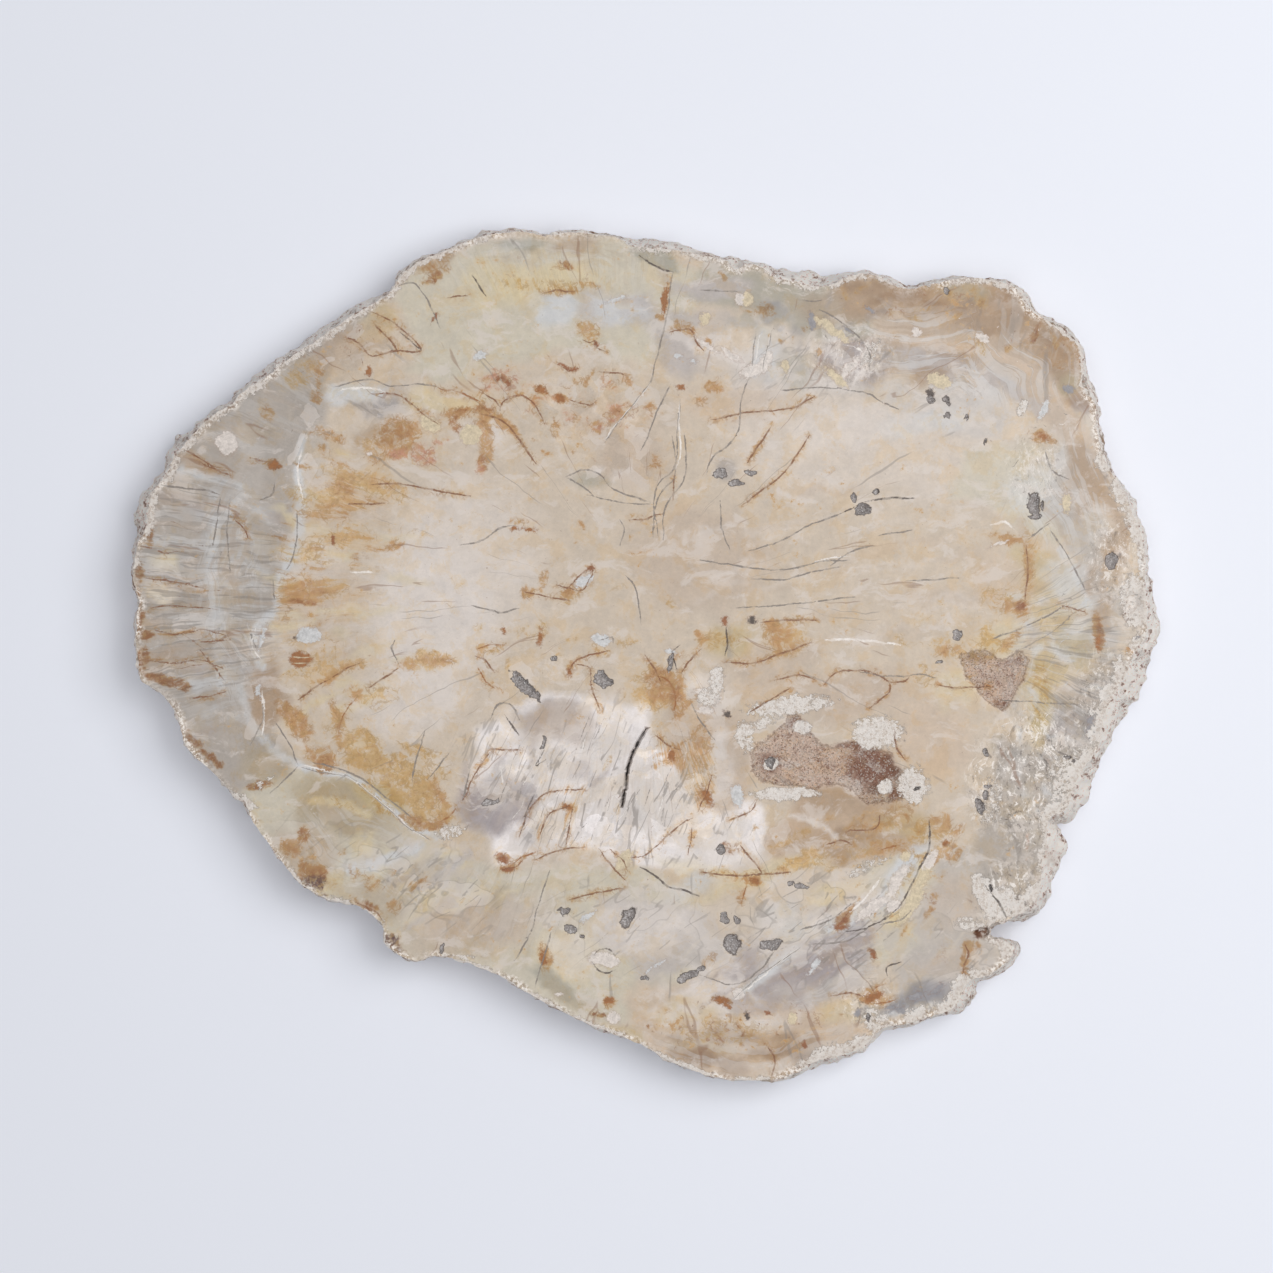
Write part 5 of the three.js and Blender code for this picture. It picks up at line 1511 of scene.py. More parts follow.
class Graph:
    """Builds the nodes of one tree."""

    def __init__(self, tree, colours=None):
        self.colours = colours
        self.nodes = tree.nodes
        self.links = tree.links
        self.nodes.clear()

    def add(self, kind, settings=None, **inputs):
        """One node of a type, with its settings first and then the values or links of its sockets."""
        node = self.nodes.new(kind)
        for name, value in (settings or {}).items():
            setattr(node, name, value)
        for name, value in inputs.items():
            key = int(name[1:]) if name[1:].isdigit() and name[0] == "i" else name.replace("_", " ")
            self.feed(node.inputs[key], value)
        return node

    def feed(self, socket, value):
        """Links a socket to another one, or gives it a value. A tint's name stands for its colour."""
        if isinstance(value, Value):
            value = value.socket
        if isinstance(value, str) and socket.type in ("RGBA", "VECTOR"):
            value = self.colours[value]
        if isinstance(value, bpy.types.NodeSocket):
            self.links.new(value, socket)
        elif isinstance(value, (tuple, list, np.ndarray)):
            wanted = len(socket.default_value)
            socket.default_value = (tuple(float(part) for part in value) + (1.0,))[:wanted]
        else:
            socket.default_value = value

    def sum(self, operation, first, second):
        """A Math node."""
        node = self.add("ShaderNodeMath", {"operation": operation}, i0=first, i1=second)
        return Value(self, node.outputs[0])

    def vector(self, operation, first, second):
        """A Vector Math node."""
        return self.add("ShaderNodeVectorMath", {"operation": operation}, i0=first, i1=second).outputs[0]

    def attribute(self, name, output="Fac"):
        """A named attribute of the mesh."""
        node = self.add("ShaderNodeAttribute", {"attribute_type": "GEOMETRY", "attribute_name": name})
        return Value(self, node.outputs[output])

    def ramp(self, value, low, high):
        """0 below low, 1 above high and smooth between them."""
        settings = {"interpolation_type": "SMOOTHSTEP"}
        node = self.add("ShaderNodeMapRange", settings, Value=value, From_Min=low, From_Max=high)
        return Value(self, node.outputs[0])

    def band(self, value, rise, full, fall, gone):
        """1 from full to fall, and 0 before rise and past gone."""
        return self.ramp(value, rise, full) * (1 - self.ramp(value, fall, gone))

    def blend(self, share, low, high, kind="MIX"):
        """One colour over another."""
        settings = {"data_type": "RGBA", "blend_type": kind, "clamp_factor": True}
        return self.add("ShaderNodeMix", settings, i0=share, i6=low, i7=high).outputs[2]

    def coated(self, colour, *coats):
        """A colour under thin coats of others, each with its share first."""
        for share, coat in coats:
            colour = self.blend(share, colour, coat)
        return colour

    def shade(self, colour, value):
        """A colour made lighter or darker."""
        node = self.add("ShaderNodeVectorMath", {"operation": "SCALE"}, i0=colour, Scale=value)
        return node.outputs[0]

    def stretch(self, vector, scale):
        """A place in space scaled along its three axes."""
        return self.vector("MULTIPLY", vector, scale)

    def noise(self, vector, scale, detail=3.0, roughness=0.55, distortion=0.0):
        """Soft noise from 0 to 1."""
        node = self.add("ShaderNodeTexNoise", None, Vector=vector, Scale=scale, Detail=detail,
                        Roughness=roughness, Distortion=distortion)
        return Value(self, node.outputs[0])

    def warp(self, vector, scale, amount, detail):
        """A place in space pushed about by soft noise."""
        push = self.add("ShaderNodeTexNoise", None, Vector=vector, Scale=scale, Detail=detail).outputs[1]
        push = self.shade(self.vector("SUBTRACT", push, (0.5, 0.5, 0.5)), amount)
        return self.vector("ADD", vector, push)

    def threads(self, vector, scale, width, detail):
        """Thin winding lines where soft noise crosses its middle."""
        off = self.sum("ABSOLUTE", self.noise(vector, scale, detail, 0.6) - 0.5, 0.0)
        return 1 - self.ramp(off, width * 0.3, width)

    def tone(self, colour, part):
        """One of the three parts of a random colour, as a number."""
        return Value(self, self.add("ShaderNodeSeparateColor", None, Color=colour).outputs[part])

    def cells(self, vector, scale):
        """A random colour for each cell of a broken pattern."""
        return self.add("ShaderNodeTexVoronoi", None, Vector=vector, Scale=scale).outputs["Color"]

    def millimetres(self):
        """The place on the piece in millimetres."""
        return self.shade(self.add("ShaderNodeTexCoord").outputs["Object"], 1000.0)

    def finish(self, **inputs):
        """The one shader of a material and its output."""
        shader = self.add("ShaderNodeBsdfPrincipled", None, **inputs)
        self.add("ShaderNodeOutputMaterial", None, Surface=shader.outputs[0])


def new_material(name, colours):
    """An empty material and the graph of its nodes."""
    material = bpy.data.materials.new(name)
    material.use_nodes = True
    return material, Graph(material.node_tree, colours)


def stone_material(colours, finish):
    """Polished agate-like wood with stains, veins, chalk, sand and crystal pockets, and its rough wall."""
    material, g = new_material("petrified_wood", colours)
    mm = g.millimetres()
    flow = g.attribute("flow", "Vector").socket
    side = g.attribute("side")
    base = g.ramp(side, 1.4, 1.6)
    wall = g.ramp(side, 0.4, 0.6) * (1 - base)
    bent = g.warp(g.warp(mm, 0.045, 16.0, 3), 0.3, 1.8, 4)
    mottle = g.noise(mm, 0.55, 4, 0.65) - 0.5
    grit = g.noise(mm, 1.7, 3, 0.7) - 0.5
    ragged = g.noise(mm, 0.9, 6, 0.72) - 0.5
    crumble = g.noise(mm, 0.6, 7, 0.75) - 0.5
    traits = {name: g.attribute(name) for name in TRAIT_NAMES}

    colour = clouded_ground(g, mm, bent, mottle, grit, traits)
    colour = grained(g, colour, mm, flow, traits)
    sand_share = traits["sand"] + ragged * 1.8
    sand_mask = g.ramp(sand_share, 0.44, 0.56)
    sand_edge = g.band(sand_share, 0.24, 0.4, 0.5, 0.75)
    colour = g.coated(colour, (sand_mask, sandy(g, colour, mm)), (sand_edge * 0.4, "umber"))
    colour = stained(g, colour, mm, flow, traits["grain"], ragged)
    colour = threaded(g, colour, mm, flow, traits)
    colour = shattered(g, colour, mm, traits["broken"])

    spot_share = g.attribute("spot", "Alpha") + ragged * 1.9
    spot_colour = g.shade(g.attribute("spot", "Color").socket, 1 + mottle * 0.9 + grit * 0.7)
    spot_edge = g.band(spot_share, 0.28, 0.42, 0.44, 0.6)
    colour = g.coated(
        colour,
        (g.ramp(spot_share, 0.34, 0.7) * 0.95, spot_colour),
        (spot_edge * 0.25, "vein_brown"))

    chalk_share = traits["chalk"] + crumble * 2.2
    chalk_mask = g.ramp(chalk_share, 0.5, 0.58)
    outline = g.ramp(chalk_share, 0.38, 0.47) * (1 - chalk_mask) * g.ramp(traits["chalk"], 0.05, 0.3)
    colour = g.blend(outline * 0.5, colour, "vein_grey")
    # Tan specks on the chalk: partly real stain and partly painted shade of its small pits.
    pit_shade_and_dirt = g.ramp(g.noise(mm, 0.8, 7, 0.8), 0.51, 0.57)
    chalk_colour = g.blend(pit_shade_and_dirt * 0.45, g.shade("chalk", 1.04 + crumble * 0.3), "bark_tan")
    colour = g.blend(chalk_mask * 0.92, colour, chalk_colour)

    colour = crumbly_rim(g, colour, mm, flow)
    vein_gate = 0.5 + g.ramp(g.noise(mm, 0.35, 3), 0.4, 0.55) * 0.5
    vein_mask = g.ramp(g.attribute("vein", "Alpha") + ragged * 1.2, 0.32, 0.7) * vein_gate
    colour = g.blend(vein_mask * 0.9, colour, g.attribute("vein", "Color").socket)
    pocket_share = traits["pocket"] + ragged * 1.3
    pocket_mask = g.ramp(pocket_share, 0.42, 0.56)
    # A dark band round each pocket's edge: painted shade of the pocket's sunken rim.
    pocket_rim_shade = g.band(pocket_share, 0.26, 0.42, 0.5, 0.9)
    colour = g.coated(colour, (pocket_mask, druse_floor(g, mm, grit)), (pocket_rim_shade * 0.75, "vein_dark"))

    colour = g.coated(colour, (wall, rough_bark(g, mm, crumble)), (base * 0.4, "chalk_grey"))
    worn = g.sum("MAXIMUM", g.sum("MAXIMUM", chalk_mask, sand_mask), g.sum("MAXIMUM", wall, base * 0.7))
    roughness = finish.polish + mottle * 0.08 + worn * (finish.rough - finish.polish)
    height = (crumble * 0.8 + grit * 0.5 + (g.noise(mm, 0.3, 8, 0.8) - 0.5) * wall) * worn
    height = height + pocket_mask * grit * 0.4 + mottle * 0.01 - vein_mask * 0.05
    bump = g.add("ShaderNodeBump", None, Strength=0.8, Distance=BUMP_DEPTH, Height=height).outputs[0]
    g.finish(Base_Color=colour, Roughness=roughness, Normal=bump, Specular_IOR_Level=0.4)
    return material


def clouded_ground(g, mm, bent, mottle, grit, traits):
    """The painted ground with mottling, ragged warm, cool and milky veils, and broken cells in places."""
    colour = g.attribute("ground", "Color").socket
    blotch = g.noise(mm, 0.17, 7, 0.7) - 0.5
    rough = 0.16 + traits["crackle"] * 0.22
    colour = g.shade(colour, 1 + blotch * 0.42 + mottle * 0.18 + grit * rough)
    warm = g.blend(1.0, colour, "warm_glaze", "MULTIPLY")
    cool = g.blend(1.0, colour, "cool_glaze", "MULTIPLY")
    warmth = g.noise(bent, 0.09, 9, 0.72)
    colour = g.coated(
        colour,
        (g.ramp(warmth, 0.51, 0.57) * 0.8, warm),
        (g.ramp(warmth, 0.48, 0.42) * 0.5, cool))
    milk = g.noise(g.stretch(bent, (0.06, 0.11, 0.1)), 1.0, 8, 0.68, 0.4)
    milky = g.ramp(milk, 0.53, 0.62) * (0.5 - traits["fleck"] * 0.4)
    colour = g.blend(milky, colour, "shell_white")
    cell = g.cells(bent, 0.16)
    broken = traits["crackle"]
    colour = g.shade(colour, 1 + (g.tone(cell, 0) - 0.5) * broken * 0.2)
    return g.coated(
        colour,
        (g.ramp(g.tone(cell, 2), 0.8, 0.81) * broken * 0.45, warm),
        (g.ramp(g.tone(cell, 1), 0.78, 0.79) * broken * 0.55, "shell_white"))


def streaks(g, vector, scale, detail=5, distortion=0.0):
    """Noise drawn out along one axis, from about -0.2 to 0.2."""
    return g.noise(g.stretch(vector, scale), 1.0, detail, 0.64, distortion) - 0.5


def contour(g, value, width):
    """A thin line where a value passes zero."""
    return 1 - g.ramp(g.sum("ABSOLUTE", value, 0.0), width * 0.3, width)


def lines(g, vector, long, across, half_width):
    """Thin nearly straight lines along the first axis. Both scales are per millimetre."""
    return contour(g, streaks(g, vector, (long, across, 0.0), 2, 0.0), across * half_width)


def layered(g, colour, value, share, light, dark, line):
    """Smooth light and dark patches with crisp borders and a thin line round the light ones."""
    return g.coated(
        colour,
        (g.ramp(value, 0.02, 0.05) * share * 0.55, light),
        (g.ramp(0 - value, 0.05, 0.09) * share * 0.45, dark),
        (contour(g, value - 0.03, 0.01) * share * 0.4, line))


def grained(g, colour, mm, flow, traits):
    """Ray grain that runs in from the rim, growth layers that follow it, and two slanting grains."""
    share = traits["grain"]
    fine_rays = streaks(g, flow, (0.04, 1.3, 0.0), 4)
    colour = g.shade(colour, 1 + share * (streaks(g, flow, (0.03, 0.5, 0.0), 5) * 0.3 + fine_rays * 0.25))
    rays = streaks(g, flow, (0.015, 0.16, 0.0), 3)
    colour = layered(g, colour, rays, share * 0.5, "bluish_white", "tan", "vein_grey")
    gate = g.ramp(streaks(g, flow, (0.05, 0.3, 0.0), 2), 0.0, 0.05)
    strong = g.ramp(share, 0.4, 0.9)
    colour = g.blend(lines(g, flow, 0.012, 0.25, 0.2) * gate * strong * 0.5, colour, "vein_grey")
    rings = streaks(g, g.warp(flow, 0.05, 9.0, 3), (0.008, 0.02, 0.22), 4, 0.3)
    colour = g.shade(colour, 1 + traits["band"] * rings * 0.5)
    colour = layered(g, colour, rings, traits["band"] * 0.7, "bluish_white", "tan", "vein_grey")
    for name, turn, width, pale in (("net", NET_TURN, 0.09, 0.4), ("slant", SLANT_TURN, 0.06, 0.9)):
        turned = g.add("ShaderNodeVectorRotate", {"rotation_type": "Z_AXIS"}, Vector=mm, Angle=-turn)
        turned = g.warp(turned.outputs[0], 0.04, 5.0, 2)
        share = traits[name]
        lie = streaks(g, turned, (0.03, width * 0.6, 0.0), 3, 0.3)
        gate = g.ramp(g.noise(mm, 0.13, 3), 0.47, 0.52)
        colour = layered(g, colour, lie, share * pale, "shell_white", "lilac", "vein_grey")
        colour = g.shade(colour, 1 + streaks(g, turned, (0.05, 0.9, 0.0), 3) * share * 0.08)
        cold_line = lines(g, turned, 0.018, width * 1.5, 0.16) * gate * share
        colour = g.blend(cold_line * 0.6, colour, "vein_grey")
        warm_line = lines(g, turned, 0.02, width * 1.4, 0.5) * (1 - gate) * share
        colour = g.blend(warm_line * 0.45 * pale, colour, "cream")
    return colour


def sandy(g, colour, mm):
    """Loose brown grains with white and dark ones between them."""
    chance = g.tone(g.cells(mm, 2.6), 0)
    patch = g.noise(mm, 0.36, 7, 0.8)
    colour = g.shade(colour, 0.76 + chance * 0.54)
    return g.coated(
        colour,
        (g.ramp(patch, 0.53, 0.6) * 0.7, "sand_brown"),
        (g.ramp(patch, 0.46, 0.38) * 0.5, "peach"),
        (g.ramp(chance, 0.86, 0.88) * 0.6, "chalk_grey"),
        (g.ramp(chance, 0.08, 0.06) * 0.5, "umber"))


def stained(g, colour, mm, flow, grain, ragged):
    """Iron stains, through which the stone shows: a pale halo, a half clear body and a deep core."""
    along = g.noise(g.stretch(flow, (0.1, 0.45, 0.0)), 1.0, 8, 0.72, 0.4)
    across = g.noise(mm, 0.24, 8, 0.72, 0.8)
    soak = across + (along - across) * g.ramp(grain, 0.1, 0.4) - 0.5
    share = g.attribute("stain", "Alpha")
    varied = g.noise(mm, 0.45, 5, 0.7)
    tint = g.blend(g.ramp(varied, 0.5, 0.6) * 0.5, g.attribute("stain", "Color").socket, "gold")
    tint = g.blend(g.ramp(varied, 0.47, 0.38) * 0.35, tint, "ochre_deep")
    gate = g.ramp(share, 0.0, 0.2)
    halo = g.ramp(share + soak * 2.4 * gate, 0.05, 0.9)
    strong = share + (soak * 3.2 + ragged * 0.9) * gate
    body = g.ramp(strong, 0.45, 1.0)
    border = g.band(strong, 0.62, 0.72, 0.72, 0.95) * g.ramp(varied, 0.5, 0.56)
    glaze = g.stretch(g.stretch(colour, tint), 1 / g.colours["core"])
    colour = g.coated(colour, (halo * 0.45, g.blend(0.35, glaze, "yellow_cream")), (body * 0.85, glaze))
    deep = g.ramp(strong, 1.0, 1.4) * 0.7
    colour = g.blend(g.sum("MAXIMUM", border * 0.35, deep), colour, g.shade(tint, 0.8))
    winding = g.threads(g.warp(mm, 0.1, 9.0, 3), 0.09, 0.02, 4) * g.ramp(share, 0.12, 0.5)
    return g.blend(winding * 0.5, colour, g.shade(tint, 0.75))


def threaded(g, colour, mm, flow, traits):
    """Long hairlines along the rays, and squiggles and rusty specks where the wood is flecked."""
    gate = g.noise(g.stretch(flow, (0.015, 0.09, 0.0)), 1.0, 2)
    away = g.ramp(g.tone(flow, 0), 20.0, 45.0)
    grey = lines(g, g.warp(flow, 0.03, 6.0, 1), 0.008, 0.07, 0.2) * g.ramp(gate, 0.4, 0.37) * away
    colour = g.blend(grey * 0.45, colour, "vein_grey")
    brown = lines(g, g.warp(flow, 0.04, 8.0, 2), 0.012, 0.07, 0.22) * g.ramp(gate, 0.6, 0.63) * away
    colour = g.blend(brown * 0.45, colour, "vein_brown")
    small_gate = g.noise(mm, 0.16, 3)
    shaken = g.warp(mm, 0.12, 5.0, 3)
    flecked = g.ramp(traits["fleck"], 0.2, 0.9)
    squiggle = g.threads(shaken, 0.3, 0.04, 4) * g.ramp(small_gate, 0.6, 0.64) * flecked
    colour = g.blend(squiggle * 0.5, colour, "rust")
    rusty = g.noise(mm, 0.3, 7, 0.7) + (g.noise(mm, 0.07, 3) - 0.5) * 0.5 + flecked * 0.05
    return g.coated(
        colour,
        (g.ramp(rusty, 0.64, 0.74) * 0.6, "ochre_pale"),
        (g.ramp(rusty, 0.71, 0.76) * 0.7, "ochre"))


def crumbly_rim(g, colour, mm, flow):
    """White and brown crumbs along the broken edge of the polished face."""
    near = 1 - g.ramp(g.tone(flow, 2) + (g.noise(mm, 0.2, 4) - 0.5) * 5.0, 0.6, 3.2)
    crumbs = g.noise(mm, 0.9, 6, 0.75)
    near = near * (0.25 + g.ramp(g.noise(mm, 0.05, 3), 0.45, 0.52) * 0.75)
    return g.coated(
        colour,
        (near * 0.35, "bark_tan"),
        (g.ramp(crumbs, 0.48, 0.54) * near * 0.9, "bark_white"),
        (g.ramp(crumbs, 0.44, 0.39) * near * 0.5, "umber"))


def shattered(g, colour, mm, share):
    """Broken places: pieces of different tone, with chalk crumbs and dark pits between them."""
    bent = g.warp(mm, 0.1, 8.0, 3)
    piece = g.tone(g.cells(bent, 0.2), 0)
    colour = g.shade(colour, 1 + (piece - 0.5) * share * 0.3)
    crumbs = g.noise(g.stretch(bent, (0.5, 0.26, 0.4)), 1.0, 8, 0.8)
    return g.coated(
        colour,
        (g.ramp(crumbs, 0.54, 0.58) * share * 0.85, "chalk"),
        (g.ramp(crumbs, 0.44, 0.4) * share * 0.7, "vein_dark"))


def druse_floor(g, mm, grit):
    """Grey crystals with painted light and shade on their facets; the lightest facets take the pale quartz
    colour.
    """
    # Painted light and shade: each crystal facet is made lighter or darker at random, and the grit adds more.
    facet_light_and_shade = g.tone(g.cells(mm, 1.7), 1)
    colour = g.shade("pocket", 0.85 + facet_light_and_shade * 0.6 + grit * 0.9)
    return g.blend(g.ramp(facet_light_and_shade, 0.75, 0.8) * 0.6, colour, "quartz")


def rough_bark(g, mm, crumble):
    """The wall: chalky crumbs over tan wood, its chalk scaled past its own white as painted light for the
    side light on it, and pink and brown specks that are partly real stain and partly painted shade of its
    small pits.
    """
    colour = g.shade(g.attribute("bark", "Color").socket, 0.9 + crumble * 1.2)
    upright = g.noise(g.stretch(mm, (0.5, 0.5, 0.09)), 1.0, 7, 0.7)
    broad = g.noise(mm, 0.06, 4, 0.6)
    colour = g.coated(
        colour,
        (g.ramp(upright, 0.5, 0.58) * 0.6, "tan"),
        (g.ramp(upright, 0.46, 0.4) * 0.5, "tan_deep"))
    chalky = g.ramp(g.noise(mm, 0.2, 9, 0.8) + (broad - 0.5) * 0.5, 0.41, 0.46)
    # The chalk is scaled brighter than its own white: painted light for the side light that falls on the
    # wall.
    colour = g.coated(
        colour,
        (chalky * 0.92, g.shade("bark_white", 1.12 + crumble * 0.5)),
        (g.ramp(broad, 0.55, 0.7) * 0.35, "peach"))
    # Pink and brown specks: partly real stain and partly painted shade of the wall's small pits.
    pit_shade_and_dirt = g.noise(g.stretch(mm, (0.4, 0.4, 0.22)), 1.0, 9, 0.8) + (upright - 0.5) * 0.6
    return g.coated(
        colour,
        (g.ramp(pit_shade_and_dirt, 0.53, 0.58) * 0.45, "rust_pink"),
        (g.ramp(pit_shade_and_dirt, 0.58, 0.63) * 0.85, "umber"))


def crystal_material(colours):
    """Small clear grey quartz points."""
    material, g = new_material("quartz_druse", colours)
    tone = g.noise(g.millimetres(), 0.7, 2)
    colour = g.blend(g.ramp(tone, 0.35, 0.65), g.shade("pocket", 1.1), "quartz")
    g.finish(Base_Color=colour, Roughness=0.18, Specular_IOR_Level=0.6)
    return material


def plain_material(name, colours, tint, roughness):
    """One colour all over."""
    material, g = new_material(name, colours)
    g.finish(Base_Color=tint, Roughness=roughness, Specular_IOR_Level=0.2)
    return material


def crystal_tree(material):
    """Geometry Nodes that stand six-sided points on the floor of the pockets."""
    tree = bpy.data.node_groups.new("Druse", "GeometryNodeTree")
    sockets = tree.interface
    sockets.new_socket("Geometry", in_out="INPUT", socket_type="NodeSocketGeometry")
    for name in ("Density", "Smallest", "Largest", "Point Length"):
        sockets.new_socket(name, in_out="INPUT", socket_type="NodeSocketFloat")
    sockets.new_socket("Seed", in_out="INPUT", socket_type="NodeSocketInt")
    sockets.new_socket("Geometry", in_out="OUTPUT", socket_type="NodeSocketGeometry")
    g = Graph(tree)
    given = g.add("NodeGroupInput").outputs
    share = g.add("GeometryNodeInputNamedAttribute", None, Name="druse").outputs["Attribute"]
    deep = g.add("FunctionNodeCompare", None, A=share, B=DRUSE_SHARE).outputs[0]
    spread = g.add("GeometryNodeDistributePointsOnFaces", None, Mesh=given["Geometry"], Selection=deep,
                   Density=given["Density"], Seed=given["Seed"]).outputs
    point = g.add("GeometryNodeMeshCone", None, Vertices=POINT_SIDES, Radius_Top=0.0, Radius_Bottom=0.5,
                  Depth=given["Point Length"]).outputs["Mesh"]
    tilt = g.add("FunctionNodeRandomValue", {"data_type": "FLOAT_VECTOR"},
                 i0=(-POINT_LEAN, -POINT_LEAN, 0.0), i1=(POINT_LEAN, POINT_LEAN, POINT_TURN)).outputs[0]
    turn = g.add("FunctionNodeEulerToRotation", None, i0=tilt).outputs[0]
    lean = g.add("FunctionNodeRotateRotation", {"rotation_space": "LOCAL"}, i0=spread["Rotation"], i1=turn)
    size = g.add("FunctionNodeRandomValue", {"data_type": "FLOAT"}, i2=given["Smallest"], i3=given["Largest"])
    stand = g.add("GeometryNodeInstanceOnPoints", None, Points=spread["Points"], Instance=point,
                  Rotation=lean.outputs[0], Scale=size.outputs[1]).outputs[0]
    real = g.add("GeometryNodeRealizeInstances", None, i0=stand).outputs[0]
    finish = g.add("GeometryNodeSetMaterial", None, i0=real, Material=material).outputs[0]
    g.add("NodeGroupOutput", None, i0=finish)
    return tree


def add_piece(name, mesh, material=None):
    """Puts a finished mesh in the scene as a piece of the slice."""
    piece = bpy.data.objects.new(name, mesh)
    bpy.context.scene.collection.objects.link(piece)
    if material:
        mesh.materials.append(material)
    return piece


def add_lamp(name, size, power, place):
    """A square lamp that faces the middle of the slice."""
    lamp = bpy.data.lights.new(name, "AREA")
    lamp.size = size
    lamp.energy = power
    holder = bpy.data.objects.new(name, lamp)
    holder.location = place
    holder.rotation_euler = (-Vector(place)).to_track_quat("-Z", "Y").to_euler()
    bpy.context.scene.collection.objects.link(holder)


def colour_property(name, colour):
    """A colour setting with its default."""
    words = name.replace("_", " ")
    return bpy.props.FloatVectorProperty(
        name=words.capitalize(), description=f"Colour of the {words} parts", subtype="COLOR", size=3,
        min=0, max=1, default=tuple(linear(colour)))


class SliceColours(bpy.types.PropertyGroup):
    """Finishes of the slice and the floor."""

    __annotations__ = {name: colour_property(name, colour) for name, colour in PALETTE.items()}


class SliceShape(bpy.types.PropertyGroup):
    """Sizes of the stone's relief and mesh."""

    face_mesh: bpy.props.FloatProperty(
        name="Face mesh", description="Distance between mesh points on the polished face",
        default=0.00142, unit="LENGTH")
    pocket_mesh: bpy.props.FloatProperty(
        name="Pocket mesh", description="Distance between mesh points in pockets and small spots",
        default=0.0005, unit="LENGTH")
    sand_mesh: bpy.props.FloatProperty(
        name="Sand mesh", description="Distance between mesh points in the sandy fillings",
        default=0.0008, unit="LENGTH")
    base_mesh: bpy.props.FloatProperty(
        name="Base mesh", description="Distance between mesh points on the sawn back",
        default=0.0042, unit="LENGTH")
    wall_cuts: bpy.props.IntProperty(
        name="Wall cuts", description="Cuts of each edge of the wall", default=1, min=0, max=3)
    rib_relief: bpy.props.FloatProperty(
        name="Rib relief", description="Depth of the broad ribs of the wall", default=0.001, unit="LENGTH")
    crumb_relief: bpy.props.FloatProperty(
        name="Crumb relief", description="Depth of the crumbs of the wall", default=0.0007, unit="LENGTH")
    edge_chips: bpy.props.FloatProperty(
        name="Edge chips", description="Depth of the small chips along the sawn edges",
        default=0.0005, unit="LENGTH")
    polish: bpy.props.FloatProperty(
        name="Polish", description="Roughness of the polished face", default=0.36, subtype="FACTOR")
    rough: bpy.props.FloatProperty(
        name="Rough stone", description="Roughness of chalk, sand and the wall", default=0.88,
        subtype="FACTOR")


class DruseShape(bpy.types.PropertyGroup):
    """Sizes of the small crystals."""

    density: bpy.props.FloatProperty(
        name="Density", description="Crystals on each square metre of pocket", default=1.3e6)
    smallest: bpy.props.FloatProperty(
        name="Smallest", description="Width of the smallest crystal", default=0.0003, unit="LENGTH")
    largest: bpy.props.FloatProperty(
        name="Largest", description="Width of the largest crystal", default=0.0006, unit="LENGTH")
    point_length: bpy.props.FloatProperty(
        name="Point length", description="Length of a crystal as a share of its width", default=1.3)
    seed: bpy.props.IntProperty(name="Seed", description="Start of the random draws", default=7)


class StageShape(bpy.types.PropertyGroup):
    """Floor, lights and camera."""

    floor_size: bpy.props.FloatProperty(
        name="Floor size", description="Length of the floor's sides", default=6.0, unit="LENGTH")
    eye_height: bpy.props.FloatProperty(
        name="Eye height", description="Height of the camera over the polished face",
        default=EYE_HEIGHT, unit="LENGTH")
    sky_light: bpy.props.FloatProperty(
        name="Sky light", description="Strength of the even light from all round", default=0.31)
    key_power: bpy.props.FloatProperty(
        name="Key power", description="Power of the lamp at the side in watts", default=9.5, unit="POWER")
    key_size: bpy.props.FloatProperty(
        name="Key size", description="Width of the lamp at the side", default=1.0, unit="LENGTH")
    key_place: bpy.props.FloatVectorProperty(
        name="Key place", description="Place of the lamp at the side", default=(0.8, 0.25, 1.25),
        subtype="TRANSLATION")
    fill_power: bpy.props.FloatProperty(
        name="Fill power", description="Power of the broad lamp overhead in watts", default=20.0,
        unit="POWER")
    fill_size: bpy.props.FloatProperty(
        name="Fill size", description="Width of the broad lamp overhead", default=2.4, unit="LENGTH")
    fill_place: bpy.props.FloatVectorProperty(
        name="Fill place", description="Place of the broad lamp overhead", default=(0.1, 0.0, 2.4),
        subtype="TRANSLATION")


class STONE_OT_slice(bpy.types.Operator):
    """Builds the stone slice"""

    bl_idname = "stone.slice"
    bl_label = "Stone slice"

    def execute(self, context):
        scene = context.scene
        mesh = build_stone(scene.slice_shape, palette(scene))
        piece = add_piece(STONE_PIECE, mesh, stone_material(palette(scene), scene.slice_shape))
        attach(piece, BODY)
        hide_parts(NODE)
        return {"FINISHED"}


class STONE_OT_druse(bpy.types.Operator):
    """Stands small crystals in the pockets"""

    bl_idname = "stone.druse"
    bl_label = "Pocket crystals"

    def execute(self, context):
        scene = context.scene
        carrier = add_piece("druse_carrier", bpy.data.objects[STONE_PIECE].data.copy())
        tree = crystal_tree(crystal_material(palette(scene)))
        modifier = carrier.modifiers.new("Druse", "NODES")
        modifier.node_group = tree
        wanted = {
            "Density": scene.druse_shape.density,
            "Smallest": scene.druse_shape.smallest,
            "Largest": scene.druse_shape.largest,
            "Point Length": scene.druse_shape.point_length,
            "Seed": scene.druse_shape.seed,
        }
        for item in tree.interface.items_tree:
            if item.in_out == "INPUT" and item.name in wanted:
                modifier[item.identifier] = wanted[item.name]
        evaluated = carrier.evaluated_get(context.evaluated_depsgraph_get())
        mesh = bpy.data.meshes.new_from_object(evaluated)
        mesh.name = CRYSTAL_PIECE
        bpy.data.objects.remove(carrier)
        if not mesh.polygons:
            raise RuntimeError("no pocket was found for the crystals")
        piece = add_piece(CRYSTAL_PIECE, mesh)
        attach(piece, BODY)
        return {"FINISHED"}


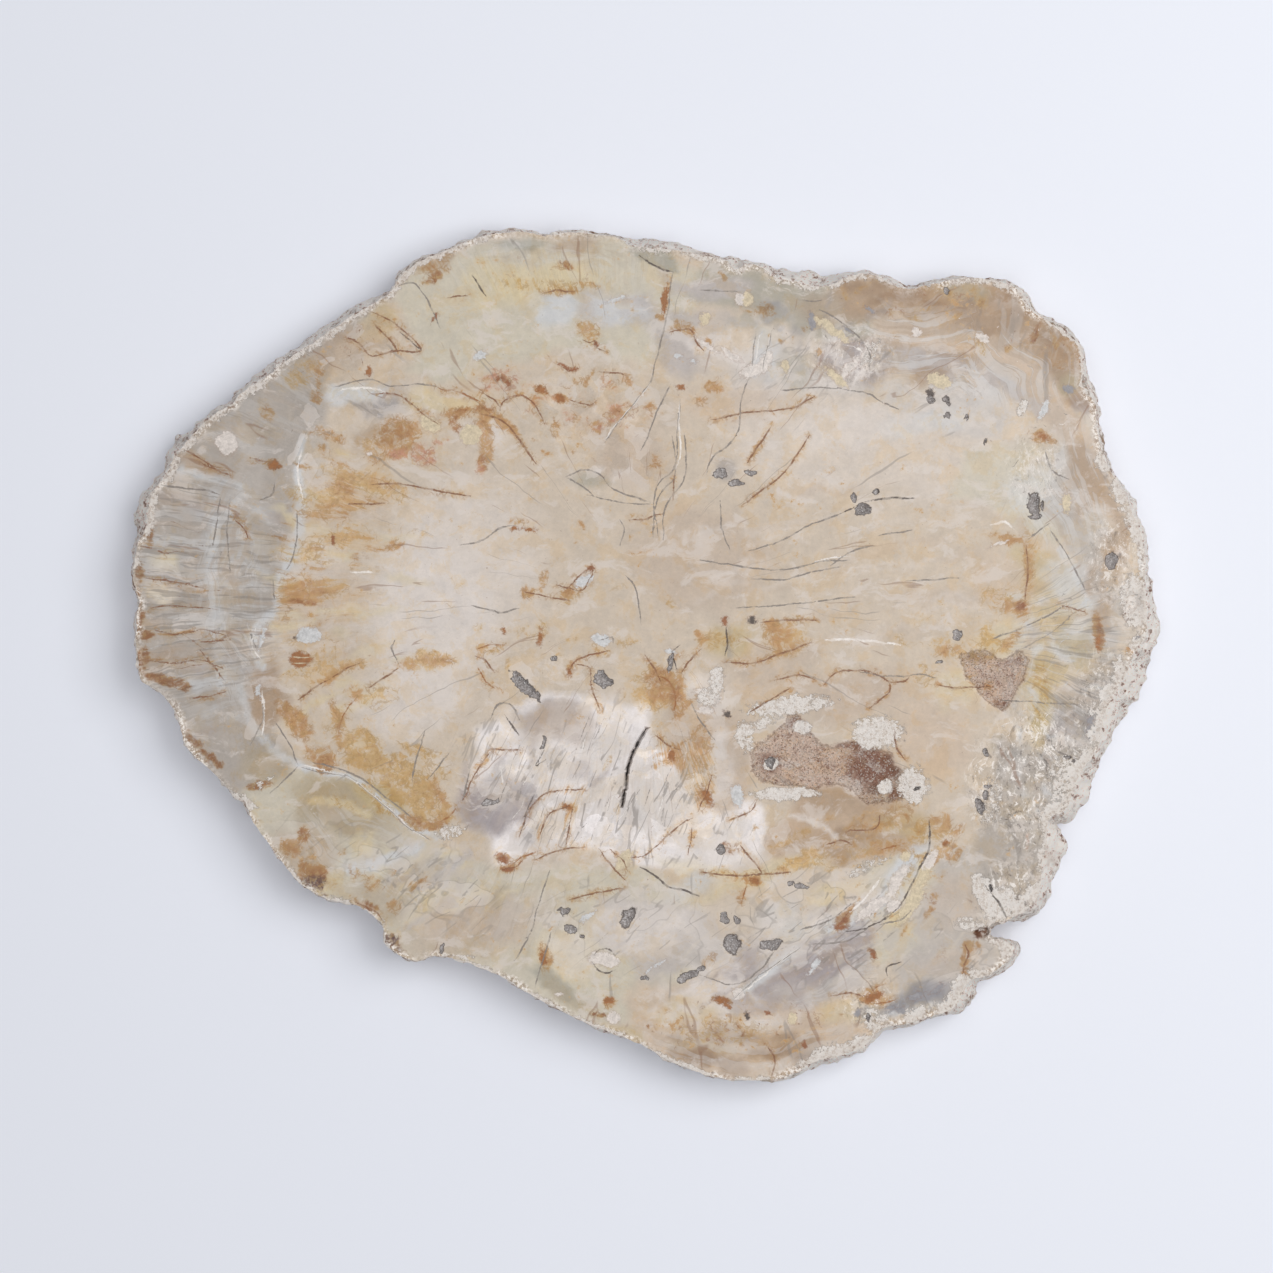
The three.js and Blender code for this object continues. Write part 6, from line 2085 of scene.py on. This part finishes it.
class STONE_OT_stage(bpy.types.Operator):
    """Adds the floor, the lights and the camera"""

    bl_idname = "stone.stage"
    bl_label = "Stage"

    def execute(self, context):
        scene = context.scene
        settings = scene.stage_shape
        half = settings.floor_size / 2
        corners = [(-half, -half, 0), (half, -half, 0), (half, half, 0), (-half, half, 0)]
        mesh = bpy.data.meshes.new("floor")
        mesh.from_pydata(corners, [], [(0, 1, 2, 3)])
        paper = plain_material("pale_paper", palette(scene), "floor", PAPER_ROUGHNESS)
        floor = add_piece("floor", mesh, paper)
        floor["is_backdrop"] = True

        world = bpy.data.worlds.new("soft_sky")
        scene.world = world
        world.use_nodes = True
        sky = world.node_tree.nodes["Background"]
        sky.inputs["Color"].default_value = SKY_COLOUR
        sky.inputs["Strength"].default_value = settings.sky_light

        add_lamp("key", settings.key_size, settings.key_power, settings.key_place)
        add_lamp("fill", settings.fill_size, settings.fill_power, settings.fill_place)

        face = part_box(NODE)[1].z
        lens = bpy.data.cameras.new("camera")
        lens.sensor_width = FILM_WIDTH
        lens.lens = FILM_WIDTH * settings.eye_height / (PICTURE_SIZE * PIXEL)
        lens.clip_end = EYE_REACH
        camera = bpy.data.objects.new("camera", lens)
        middle = to_part([(PICTURE_SIZE / 2, PICTURE_SIZE / 2)])[0]
        camera.location = (middle[0], middle[1], face + settings.eye_height)
        scene.collection.objects.link(camera)
        scene.camera = camera
        scene.view_settings.view_transform = "Standard"
        return {"FINISHED"}


class STONE_PT_panel(bpy.types.Panel):
    """Lists the steps that build the slice"""

    bl_label = "Petrified wood"
    bl_idname = "STONE_PT_panel"
    bl_space_type = "VIEW_3D"
    bl_region_type = "UI"
    bl_category = "Stone"

    def draw(self, context):
        for operator in OPERATORS:
            self.layout.operator(operator.bl_idname)


OPERATORS = (STONE_OT_slice, STONE_OT_druse, STONE_OT_stage)
SETTINGS = {
    "slice_colours": SliceColours,
    "slice_shape": SliceShape,
    "druse_shape": DruseShape,
    "stage_shape": StageShape,
}


def palette(scene):
    """The chosen colours by name, in linear light, with two glazes that warm or cool the ground."""
    colours = {name: np.array(getattr(scene.slice_colours, name)) for name in PALETTE}
    colours["warm_glaze"] = np.array(WARM_GLAZE)
    colours["cool_glaze"] = np.array(COOL_GLAZE)
    return colours


def register():
    """Adds the classes and settings."""
    for group in SETTINGS.values():
        bpy.utils.register_class(group)
    for name, group in SETTINGS.items():
        setattr(bpy.types.Scene, name, bpy.props.PointerProperty(type=group))
    for operator in OPERATORS:
        bpy.utils.register_class(operator)
    bpy.utils.register_class(STONE_PT_panel)


def unregister():
    """Takes the classes and settings away."""
    bpy.utils.unregister_class(STONE_PT_panel)
    for operator in reversed(OPERATORS):
        bpy.utils.unregister_class(operator)
    for name, group in SETTINGS.items():
        delattr(bpy.types.Scene, name)
        bpy.utils.unregister_class(group)


def main():
    """Builds the slice and its stage."""
    register()
    bpy.ops.stone.slice()
    bpy.ops.stone.druse()
    bpy.ops.stone.stage()
    boxes = {"cad": CAD_BOX, "visual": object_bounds()}
    sizes = {name: [list(corner) for corner in box] for name, box in boxes.items()}


if __name__ == "__main__":
    main()
